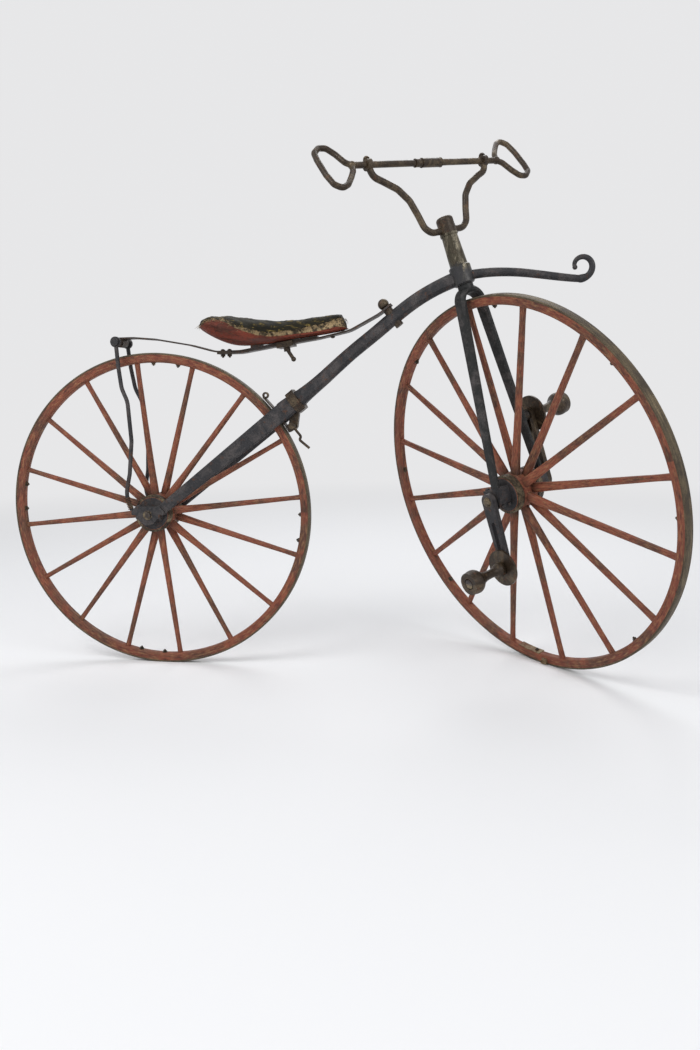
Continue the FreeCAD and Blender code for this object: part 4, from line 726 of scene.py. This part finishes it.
# Shares of its length, of its half width there, and of its height for the pan's edges and the cushion
STATIONS = (0.0, 0.03, 0.10, 0.22, 0.36, 0.52, 0.68, 0.84, 0.965, 1.0)
WIDTHS = (0.22, 0.52, 0.88, 1.0, 0.92, 0.66, 0.46, 0.38, 0.34, 0.26)
PAN_LOWS = (0.62, 0.50, 0.30, 0.07, 0.03, 0.08, 0.20, 0.30, 0.40, 0.44)
PAN_TOPS = (0.68, 0.70, 0.76, 0.62, 0.36, 0.26, 0.32, 0.40, 0.48, 0.49)
CUSHION_TOPS = (0.76, 0.90, 0.97, 0.96, 0.86, 0.76, 0.77, 0.86, 0.90, 0.80)
# How far up the soft body the cover's edge and the red side's edge lie, from the tail to the nose
COVER_SHARES = ((0.0, 0.12), (0.05, 0.26), (0.09, 0.56), (0.14, 0.73), (0.20, 0.76), (0.25, 0.66),
                (0.30, 0.49), (0.38, 0.36), (0.44, 0.28), (0.50, 0.24), (0.57, 0.24), (0.66, 0.32),
                (0.75, 0.38), (0.84, 0.46), (0.92, 0.58), (0.96, 0.74), (1.0, 0.80))
SIDE_SHARES = ((0.0, 0.0), (0.05, 0.08), (0.09, 0.34), (0.13, 0.52), (0.19, 0.58), (0.25, 0.49), (0.30, 0.28),
               (0.38, 0.18), (0.44, 0.06), (0.52, 0.0), (0.88, 0.0), (0.94, 0.10), (1.0, 0.04))
# The power of the soft body's oval, the share of its length in which each end closes, its height over the
# pan's edge line, and the height of its lumps, in metres
OVAL_POWER, END_SHARE, OVER_EDGE, LUMP = 0.75, 0.035, 0.9 * MM, 1.5 * MM
# How much of the cushion's half width and height the soft body fills
FILL_WIDE, FILL_HIGH = 0.985, 0.97
# How far up from the pan's lower edge to its upper edge the edge line lies
EDGE_SHARE = 0.75
# Seeds of the lumps, the cover's creases, its two torn edges, the red sides' edges and the fibres
LUMP_SEED, CREASE_SEED, COVER_SEEDS, SIDE_SEEDS, FIBRE_SEED = 31, 53, (47, 48), (62, 60), 71


def saddle_rows(count):
    """The saddle's places along X, half widths, edge, pan and cushion heights at even steps, in metres."""
    share = np.linspace(0.0, 1.0, count)
    edges = np.array(PAN_LOWS) + (np.array(PAN_TOPS) - np.array(PAN_LOWS)) * EDGE_SHARE
    table = [np.interp(share, STATIONS, row) for row in (WIDTHS, edges, PAN_TOPS, CUSHION_TOPS)]
    soft = [np.convolve(np.pad(row, 2, mode="edge"), np.ones(5) / 5.0, "valid") for row in table]
    x = (SADDLE_TAIL + SADDLE_LONG * share) * MM
    half = soft[0] * SADDLE_HALF * MM
    edge, pan, top = ((SADDLE_BASE + SADDLE_HIGH * row) * MM for row in soft[1:])
    return share, x, half, edge, pan, top


def over_saddle(rows, angle, out=0.0):
    """Points on the saddle's soft body, at angles from its left edge over the top to its right edge: half an
    oval over the pan's edge line, with lumps from sine waves, moved out square to it, and closed to a line
    at the tail and the nose."""
    share, x, half, edge, _, top = rows
    rise = np.sign(np.sin(angle)) * np.abs(np.sin(angle))**OVAL_POWER
    close = (np.clip(np.minimum(share, 1.0 - share) / END_SHARE, 0.0, 1.0)**0.5)[:, None]
    flank = np.cos(angle) * half[:, None] * close * FILL_WIDE
    lumps = wave(share[:, None] * 46.0, flank * 190.0, LUMP_SEED) * LUMP * np.maximum(rise, 0.0) * close
    height = rise * (top - edge)[:, None] * close * FILL_HIGH + lumps + out * np.sin(angle)
    across = flank + out * np.cos(angle)
    return np.stack(np.broadcast_arrays(x[:, None], across, (edge + OVER_EDGE)[:, None] + height), -1)


def rise_angle(share, seed, torn):
    """The angle at which the saddle's soft body has risen by a share of its height, along a torn edge."""
    ragged = wave(np.linspace(0.0, 60.0, len(share)), 4.0 * seed, seed) * torn
    return np.arcsin(np.clip(share + ragged, 0.0, 1.0)**(1.0 / OVAL_POWER))


def padding_grid():
    """The padding: the soft body over the pan, flat where it lies on the pan."""
    rows = saddle_rows(90)
    share, _, _, edge, pan, _ = rows
    angle = np.broadcast_to(ring(40), (len(share), 41))
    grid = over_saddle(rows, angle)
    rest = (edge + OVER_EDGE)[:, None] + np.abs(np.sin(angle))**OVAL_POWER * (pan - edge)[:, None]
    grid[..., 2] = np.where(np.sin(angle) > 0.0, grid[..., 2], rest)
    return into(REAR, grid)[None]


def cover_grid():
    """The leather cover: a creased skin over the padding, down to a torn edge on each side."""
    rows, thick = saddle_rows(170), sizes().cover_thickness
    edge_share = np.interp(rows[0], *np.array(COVER_SHARES).T)
    first, last = (rise_angle(edge_share, seed, 0.07) for seed in COVER_SEEDS)
    last = math.pi - last
    angle = first[:, None] + (last - first)[:, None] * np.linspace(0.0, 1.0, 44)
    skin, under = over_saddle(rows, angle, thick), over_saddle(rows, angle, 0.2 * MM)
    creases = wave(rows[0][:, None] * 120.0, skin[..., 1] * 260.0, CREASE_SEED)
    skin[..., 2] += creases * 0.7 * MM * np.sin(angle)
    return closed_sheet(skin, under)


def side_grid(seed, mirrored):
    """The red leather of the left side, drawn up from below the pan's edge over the padding, or of the right
    side if it is mirrored."""
    rows, thick, below = saddle_rows(150), sizes().side_thickness, 0.05
    top = rise_angle(np.interp(rows[0], *np.array(SIDE_SHARES).T), seed, 0.03)
    angle = (top[:, None] + below) * np.linspace(0.0, 1.0, 12) - below
    if mirrored:
        angle = math.pi - angle
    return closed_sheet(over_saddle(rows, angle, thick), over_saddle(rows, angle, 0.3 * MM))


def closed_sheet(skin, under):
    """A sheet with thickness: over the skin, round one edge, back under it, and round the other edge."""
    loop = np.concatenate([skin, under[:, ::-1], skin[:, :1]], 1)
    return into(REAR, capped(loop))[None]


class VELOCIPEDE_OT_saddle_padding(bpy.types.Operator):
    """Builds the saddle's padding in place of the plain cushion"""
    bl_idname = "velocipede.saddle_padding"
    bl_label = "Saddle padding"

    def execute(self, context):
        made = piece("saddle_stuffing", [padding_grid()], "frame", "stuffing", 60.0)
        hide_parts("saddle_cushion")
        return {"FINISHED"}


class VELOCIPEDE_OT_saddle_cover(bpy.types.Operator):
    """Builds the worn leather cover over the padding and the red leather on its sides"""
    bl_idname = "velocipede.saddle_cover"
    bl_label = "Saddle cover"

    def execute(self, context):
        piece("saddle_cover", [cover_grid()], "frame", "dark_cover", 60.0)
        sides = [side_grid(seed, mirrored) for seed, mirrored in zip(SIDE_SEEDS, (False, True))]
        piece("saddle_sides", sides, "frame", "red_leather", 60.0)
        return {"FINISHED"}


def fibre_paths(count, seed):
    """Loose fibres of the stuffing: each starts under the cover's edge, at a place and on a side drawn from
    a seed, and hangs down along the soft body while it leans away from it."""
    draw = np.random.default_rng(seed)
    share, x, half, edge, _, top = saddle_rows(90)
    at = draw.uniform(0.01, 0.99, count)
    side = np.where(draw.random(count) < 0.5, -1.0, 1.0)[:, None]
    wide, low, high, along = (np.interp(at, share, row)[:, None] for row in (half, edge, top, x))
    step = np.linspace(0.0, 1.0, 6)[None, :]
    reach = sizes().fringe_length * draw.uniform(0.3, 1.0, count)[:, None] * step
    start = (np.interp(at, *np.array(COVER_SHARES).T) + draw.uniform(-0.04, 0.10, count))[:, None]
    rise = start - reach / (high - low)
    flank = np.sqrt(1.0 - np.clip(rise, 0.0, 1.0)**(2.0 / OVAL_POWER))
    out = (0.5 + draw.uniform(0.3, 2.4, count)[:, None] * step**1.5) * MM
    across = side * (flank * wide + out)
    lean = draw.normal(0.0, 0.45, count)[:, None] * reach
    points = np.stack(np.broadcast_arrays(along + lean, across, low + 1.2 * MM + rise * (high - low)), -1)
    return into(REAR, points)


class VELOCIPEDE_OT_saddle_fringe(bpy.types.Operator):
    """Builds the loose fibres along the edge of the saddle's cover"""
    bl_idname = "velocipede.saddle_fringe"
    bl_label = "Saddle fringe"

    def execute(self, context):
        paths = fibre_paths(sizes().fringe_count * 2, FIBRE_SEED)
        taper = np.array([1.0, 1.0, 0.9, 0.75, 0.55, 0.3]) * sizes().fringe_radius
        piece("saddle_fringe", [tube(paths, taper, 4)], "frame", "stuffing", 80.0)
        return {"FINISHED"}


# Small fittings

# The handlebar's place in the bracket, in millimetres, and its lean in degrees
BAR_AHEAD, BAR_HEIGHT, BAR_LEAN = 7.0, 769.0, 4.5
# Places in millimetres: the bracket's eyes and the sleeve's rings along the bar, and the cranks' outsides
EYE_SPREAD, SLEEVE_RINGS, CRANK_OUTSIDE = 165.0, (35.0, -19.0, -37.0), 99.0
# The springs' lap bolts ahead of the rear axle, their heads' and nuts' heights, and the nose bolt's place
LAP_BOLTS, LAP_HEIGHTS, NOSE_BOLT = (188.0, 205.0), (395.0, 387.0), (462.0, 0.0, 420.8)
# The rear bearings' nuts and bolt heads from the rear axle: how far ahead and behind, aside, and high
BEARING_NUTS, BEARING_HEADS = (25.16, 58.5, -10.0), (27.88, 58.5, 19.4)
# The front bearings' bolts from the front axle: ahead and behind, aside, and their heads and nuts high
FORK_AHEAD, FORK_ASIDE, FORK_HEIGHTS = 17.0, (53.0, 73.0), (23.9, -17.6)
# The angles of the tyres' bolts: beside each of the rear wheel's corners, and round the front wheel
REAR_CORNERS, CORNER_SIDE, FRONT_FIRST, FRONT_BOLTS = (84.0, -6.0, 174.0, 264.0), 5.0, 29.6, 8
# The rim's plate and clip: their first and last angles, and the clip's (radius, aside) from the rim's edge
PLATE_ANGLES, CLIP_ANGLES = (-112.7, -103.4), (-102.1, -99.9)
RIM_CLIP = ((-12.0, 0.0), (-12.0, 2.4), (-1.6, 2.6), (-1.6, 8.0), (0.9, 8.0), (0.9, 0.6), (-12.0, 0.0))
# The wire round the right stay: from where to where, the coil's radius, and its turns
WIRE_FOOT, WIRE_KNEE, WIRE_COIL, WIRE_TURNS = (-49.0, -57.0, 14.0), (-59.0, -56.4, 42.0), 6.3, 7
# Profiles of (height, radius) in shares of a fitting's radius
DOME = ((0.0, 0.0), (0.0, 1.0), (0.12, 1.06), (0.35, 1.0), (0.6, 0.80), (0.78, 0.5), (0.86, 0.2), (0.88, 0.0))
NUT = ((0.0, 0.0), (0.0, 1.0), (0.1, 1.12), (0.9, 1.12), (1.0, 1.0), (1.0, 0.62), (1.02, 0.55), (1.5, 0.52),
       (1.58, 0.42), (1.6, 0.0))
WASHER = ((0.0, 0.0), (0.0, 1.0), (0.06, 1.06), (0.2, 1.06), (0.26, 1.0), (0.26, 0.0))
FLAT_HEAD = ((0.0, 0.0), (0.0, 1.0), (0.16, 0.96), (0.2, 0.6), (0.2, 0.0))


def spots(place, *points):
    """Points in millimetres along a place's own directions, in the model's frame."""
    return into(place, np.array(points, float) * MM)


def four(place, ahead, aside, height):
    """Four spots in a rectangle: on both sides, behind and ahead."""
    return spots(place, *((way * ahead, side * aside, height) for side in (1.0, -1.0) for way in (-1.0, 1.0)))


def bolts(profile, radius, places, axes, sides=0):
    """Like bolt heads, nuts or washers: a profile in shares of their radius, at each place along each axis.
    With sides, they are square or six-sided."""
    grid = turned(np.asarray(profile, float) * radius, 24, sides)
    return on_axes(grid, places, np.broadcast_to(axes, np.shape(places)))


def rim_bolts(name, place, radius, angles):
    """The nuts of the bolts that hold a tyre on the felloe's inner face, and their worn heads in the tyre."""
    size = sizes()
    inner = radius - size.tyre_thickness - size.felloe_depth
    angles = np.radians(np.asarray(angles, float))
    out = np.stack([np.cos(angles), np.zeros_like(angles), np.sin(angles)], -1)
    axes = out @ place[1]
    plates = bolts(WASHER, 6.4 * MM, into(place, out * (inner + 0.3 * MM)), -axes)
    nuts = bolts(NUT, 4.4 * MM, into(place, out * (inner - 0.9 * MM)), -axes, 4)
    heads = bolts(FLAT_HEAD, 5.2 * MM, into(place, out * (radius - 1.1 * MM)), axes)
    piece(f"{name}_tyre_bolts", [plates, nuts, heads], f"{name}_wheel", "brown_iron")


class VELOCIPEDE_OT_rim_bolts(bpy.types.Operator):
    """Builds the bolts that hold the tyres on the felloes"""
    bl_idname = "velocipede.rim_bolts"
    bl_label = "Tyre bolts"

    def execute(self, context):
        rear = [corner + side for corner in REAR_CORNERS for side in (-CORNER_SIDE, CORNER_SIDE)]
        rim_bolts("rear", REAR, sizes().rear_radius, rear)
        front = [FRONT_FIRST + 360.0 / FRONT_BOLTS * number for number in range(FRONT_BOLTS)]
        rim_bolts("front", FRONT, sizes().front_radius, front)
        return {"FINISHED"}


class VELOCIPEDE_OT_frame_bolts(bpy.types.Operator):
    """Builds the bolts of the springs, the stays and the rear bearings"""
    bl_idname = "velocipede.frame_bolts"
    bl_label = "Frame bolts"

    def execute(self, context):
        up, radius = REAR[1][2], sizes().bolt_radius
        lap, under = (spots(REAR, *((ahead, 0.0, height) for ahead in LAP_BOLTS)) for height in LAP_HEIGHTS)
        heads = [bolts(DOME, radius, lap, up), bolts(NUT, radius * 0.95, under, -up, 4),
                 bolts(DOME, radius, spots(REAR, NOSE_BOLT), -up)]
        piece("spring_bolts", heads, "frame", "brown_iron")
        grids = [bolts(NUT, radius * 0.9, four(REAR, *BEARING_NUTS), -up, 6),
                 bolts(DOME, radius, four(REAR, *BEARING_HEADS), up)]
        piece("rear_bearing_bolts", grids, "frame", "dark_iron")
        return {"FINISHED"}


def beads(radii, places, axis):
    """Narrow raised rings round a bar, each with its own radius in millimetres."""
    rings = []
    for radius, spot in zip(radii, places):
        low, high = radius - 0.8, radius + 0.5
        profile = np.array(((-0.9, low), (-0.6, high), (0.6, high), (0.9, low), (-0.9, low))) * MM
        rings.append(on_axes(turned(profile, 32), spot, axis))
    return np.concatenate(rings)


def patch(place, profile, start, end, rows=14):
    """A short closed band on a wheel's rim between two angles, from a closed cross-section of (radius,
    aside) pairs in millimetres, with flat ends."""
    radii, asides = np.array(profile).T * MM
    angle = np.radians(np.linspace(start, end, rows))[:, None]
    aside = np.broadcast_to(asides, (rows, len(asides)))
    return into(place, capped(np.stack([radii * np.cos(angle), aside, radii * np.sin(angle)], -1)))[None]


class VELOCIPEDE_OT_bar_fittings(bpy.types.Operator):
    """Builds the screws of the bracket's eyes and the rings of the bar's sleeve"""
    bl_idname = "velocipede.bar_fittings"
    bl_label = "Bar fittings"

    def execute(self, context):
        lean, radius = math.radians(BAR_LEAN), sizes().bolt_radius
        forward, left, up = STEERED
        along = math.cos(lean) * left - math.sin(lean) * up
        over = math.sin(lean) * left + math.cos(lean) * up
        bar = (spots(STEERING, (BAR_AHEAD, 0.0, BAR_HEIGHT))[0], np.array([forward, along, over]))
        eyes = spots(bar, (0.0, EYE_SPREAD, 12.6), (0.0, -EYE_SPREAD, 12.6))
        behind = spots(bar, (-9.0, EYE_SPREAD, 9.0))
        grids = [bolts(WASHER, radius * 1.25, eyes, over), bolts(DOME, radius * 1.1, eyes + over * MM, over),
                 bolts(DOME, radius * 0.9, behind, over - forward)]
        piece("bracket_screws", grids, "steering", "brown_iron")
        ends = spots(bar, *((0.0, aside, 0.0) for aside in SLEEVE_RINGS))
        piece("sleeve_rings", [beads((10.2, 10.2, 9.0), ends, along)], "steering", "brown_iron")
        return {"FINISHED"}


class VELOCIPEDE_OT_fork_fittings(bpy.types.Operator):
    """Builds the bolts of the front bearings and the rounded ends of the crank axle"""
    bl_idname = "velocipede.fork_fittings"
    bl_label = "Fork fittings"

    def execute(self, context):
        radius, up, left = sizes().bolt_radius, STEERED[2], STEERED[1]
        top, bottom = FORK_HEIGHTS
        asides = [side * out for side in (1.0, -1.0) for out in FORK_ASIDE]
        above = spots(FRONT, *((-FORK_AHEAD, aside, top) for aside in asides))
        below = spots(FRONT, *((way * FORK_AHEAD, aside, bottom) for way in (-1.0, 1.0) for aside in asides))
        grids = [bolts(DOME, radius, above, up), bolts(NUT, radius * 0.9, below, -up, 6)]
        piece("front_bearing_bolts", grids, "steering", "dark_iron")
        ends = spots(FRONT, (0.0, CRANK_OUTSIDE, 0.0), (0.0, -CRANK_OUTSIDE, 0.0))
        domes = bolts(DOME, 9.5 * MM, ends, np.array([left, -left]))
        piece("axle_ends", [domes], "front_wheel", "bare_steel")
        return {"FINISHED"}


class VELOCIPEDE_OT_repairs(bpy.types.Operator):
    """Builds the old repairs: a plate and a clip on the front rim, and wire round the right stay's foot"""
    bl_idname = "velocipede.repairs"
    bl_label = "Old repairs"

    def execute(self, context):
        size = sizes()
        outer = (size.front_radius - size.tyre_thickness) / MM
        inner, half = outer - size.felloe_depth / MM, size.felloe_width / MM / 2.0
        low, high, wide = inner - 1.5, inner + 0.4, half - 1.0
        plate = ((low, -wide), (low, wide), (high, wide), (high, -wide), (low, -wide))
        clip = [(outer + rise, -half - out) for rise, out in RIM_CLIP]
        grids = [patch(FRONT, plate, *PLATE_ANGLES), patch(FRONT, clip, *CLIP_ANGLES, 4)]
        piece("rim_plate_and_clip", grids, "front_wheel", "rusty_wire")
        foot, knee = np.array(WIRE_FOOT), np.array(WIRE_KNEE)
        ahead = (knee - foot) / np.linalg.norm(knee - foot)
        across = np.cross(ahead, REAR[1][1])
        turn = np.linspace(0.0, 1.0, 150)[:, None]
        spin = turn * 2.0 * math.pi * WIRE_TURNS
        loose = 1.0 + 0.5 * np.clip((turn - 0.93) / 0.07, 0.0, 1.0)
        circle = np.cos(spin) * across + np.sin(spin) * np.cross(ahead, across)
        coil = foot + (knee - foot) * turn + WIRE_COIL * loose * circle
        wire = tube(into(REAR, coil * MM), size.wire_radius, 8)[None]
        piece("stay_wire", [wire], "frame", "rusty_wire")
        return {"FINISHED"}


# Stage

# The floor's reach in metres and its points each way, and how far out it fades into the backdrop
FLOOR_REACH, FLOOR_STEPS, FADE_START, FADE_END = 14.0, 60, 1.6, 5.0
DAYLIGHT_STRENGTH = 0.46
# Each lamp's place and size in metres, and its power in watts; all of them face one place
LAMPS = (("key_light", (-1.8, -2.6, 2.6), 2.2, 84.0), ("fill_light", (2.8, -2.2, 1.6), 2.0, 34.0),
         ("back_light", (0.4, 2.6, 2.6), 2.4, 46.0))
LAMP_AIM = (0.1, 0.0, -0.4)
# The camera's place from the rear axle in metres, and its turn in degrees
CAMERA_PLACE, CAMERA_TURN = (0.8600, -1.9428, 0.2717), (81.2715, 1.1795, 10.4815)
# The sensor's width and the lens in millimetres, and the nearest and farthest that the camera sees
SENSOR, LENS, NEAR, FAR = 36.0, 36.0 * 817.0 / 1050.0, 0.05, 60.0


class VELOCIPEDE_OT_stage(bpy.types.Operator):
    """Makes the floor, the soft lights, the backdrop and the camera"""
    bl_idname = "velocipede.stage"
    bl_label = "Studio"

    def execute(self, context):
        self.floor(context.scene)
        self.daylight(context.scene)
        for name, place, size, power in LAMPS:
            self.lamp(name, place, size, power)
        self.camera(context.scene)
        context.scene.view_settings.view_transform = "Standard"
        return {"FINISHED"}

    @staticmethod
    def floor(scene):
        """A square floor under the vehicle, which fades into the backdrop's colour away from the middle."""
        line = np.linspace(-FLOOR_REACH, FLOOR_REACH, FLOOR_STEPS)
        level = np.full((FLOOR_STEPS, FLOOR_STEPS), CAD_BOX[0].z)
        grid = np.stack(np.meshgrid(line, line, indexing="ij") + [level], -1)
        mesh = bpy.data.meshes.new("floor")
        index = np.arange(FLOOR_STEPS**2).reshape(FLOOR_STEPS, FLOOR_STEPS)
        quads = np.stack([index[:-1, :-1], index[1:, :-1], index[1:, 1:], index[:-1, 1:]], -1).reshape(-1, 4)
        mesh.from_pydata(grid.reshape(-1, 3).tolist(), [], quads.tolist())
        floor = bpy.data.objects.new("floor", mesh)
        scene.collection.objects.link(floor)
        pale, tree, shader, place = finish_of("studio_floor", Roughness=0.9)
        shader.inputs["Base Color"].default_value = (*colours().floor, 1.0)
        glow = node(tree, "ShaderNodeEmission", {"Color": (*colours().backdrop, 1.0)}).outputs[0]
        away = node(tree, "ShaderNodeVectorMath", {0: place}, operation="LENGTH").outputs["Value"]
        fade = node(tree, "ShaderNodeMapRange", {"Value": away, "From Min": FADE_START, "From Max": FADE_END},
                    interpolation_type="SMOOTHSTEP").outputs["Result"]
        blend = node(tree, "ShaderNodeMixShader", {"Fac": fade, 1: shader.outputs[0], 2: glow})
        tree.links.new(blend.outputs[0], tree.nodes["Material Output"].inputs["Surface"])
        mesh.materials.append(pale)

    @staticmethod
    def daylight(scene):
        """Soft light from all round, behind which the camera and mirrors see the backdrop's colour."""
        scene.world = bpy.data.worlds.new("studio_light")
        scene.world.use_nodes = True
        sky = scene.world.node_tree
        sky.nodes.clear()
        path, seen = node(sky, "ShaderNodeLightPath"), 0.0
        for ray in ("Is Camera Ray", "Is Glossy Ray", "Is Transmission Ray"):
            either = node(sky, "ShaderNodeMath", {0: seen, 1: path.outputs[ray]}, operation="MAXIMUM")
            seen = either.outputs[0]
        lit = {"Color": (*colours().daylight, 1.0), "Strength": DAYLIGHT_STRENGTH}
        light = node(sky, "ShaderNodeBackground", lit)
        shown = node(sky, "ShaderNodeBackground", {"Color": (*colours().backdrop, 1.0)})
        both = node(sky, "ShaderNodeMixShader", {"Fac": seen, 1: light.outputs[0], 2: shown.outputs[0]})
        node(sky, "ShaderNodeOutputWorld", {"Surface": both.outputs[0]})

    @staticmethod
    def lamp(name, place, size, power):
        """A square soft light that faces the middle of the vehicle."""
        lamp = bpy.data.lights.new(name, "AREA")
        lamp.shape, lamp.size, lamp.energy = "SQUARE", size, power
        made = bpy.data.objects.new(name, lamp)
        made.location = Vector(place)
        aim = Vector(LAMP_AIM) - made.location
        made.rotation_euler = aim.to_track_quat("-Z", "Y").to_euler()
        bpy.context.scene.collection.objects.link(made)

    @staticmethod
    def camera(scene):
        """The camera, placed from the rear axle, at the photograph's angle."""
        lens = bpy.data.cameras.new("camera")
        lens.sensor_width, lens.lens = SENSOR, LENS
        lens.clip_start, lens.clip_end = NEAR, FAR
        made = bpy.data.objects.new("camera", lens)
        made.location = Vector(REAR[0]) + Vector(CAMERA_PLACE)
        made.rotation_euler = Euler([math.radians(turn) for turn in CAMERA_TURN])
        scene.collection.objects.link(made)
        scene.camera = made


OPERATORS = (VELOCIPEDE_OT_stage, VELOCIPEDE_OT_finishes, VELOCIPEDE_OT_rear_wheel, VELOCIPEDE_OT_front_wheel,
             VELOCIPEDE_OT_saddle_padding, VELOCIPEDE_OT_saddle_cover, VELOCIPEDE_OT_saddle_fringe,
             VELOCIPEDE_OT_rim_bolts, VELOCIPEDE_OT_frame_bolts, VELOCIPEDE_OT_bar_fittings,
             VELOCIPEDE_OT_fork_fittings, VELOCIPEDE_OT_repairs)


class VELOCIPEDE_PT_panel(bpy.types.Panel):
    """Lists the steps and the sizes and colours that they use"""
    bl_label = "Velocipede"
    bl_idname = "VELOCIPEDE_PT_panel"
    bl_space_type = "VIEW_3D"
    bl_region_type = "UI"
    bl_category = "Velocipede"

    def draw(self, context):
        layout = self.layout
        for operator in OPERATORS:
            layout.operator(operator.bl_idname)
        scene = context.scene
        for title, group in (("Sizes", scene.velocipede_sizes), ("Colours", scene.velocipede_colours)):
            column = layout.box().column()
            column.label(text=title)
            for name in type(group).__annotations__:
                column.prop(group, name)


CLASSES = (VelocipedeSizes, VelocipedeColours, *OPERATORS, VELOCIPEDE_PT_panel)


def register():
    """Registers the classes and puts the sizes and colours on the scene."""
    for part in CLASSES:
        bpy.utils.register_class(part)
    bpy.types.Scene.velocipede_sizes = PointerProperty(type=VelocipedeSizes)
    bpy.types.Scene.velocipede_colours = PointerProperty(type=VelocipedeColours)


def unregister():
    """Takes the classes, sizes and colours away again."""
    del bpy.types.Scene.velocipede_colours
    del bpy.types.Scene.velocipede_sizes
    for part in reversed(CLASSES):
        bpy.utils.unregister_class(part)


def main():
    """Registers the classes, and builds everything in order."""
    register()
    for operator in OPERATORS:
        group, step = operator.bl_idname.split(".")
        getattr(getattr(bpy.ops, group), step)()


if __name__ == "__main__":
    main()
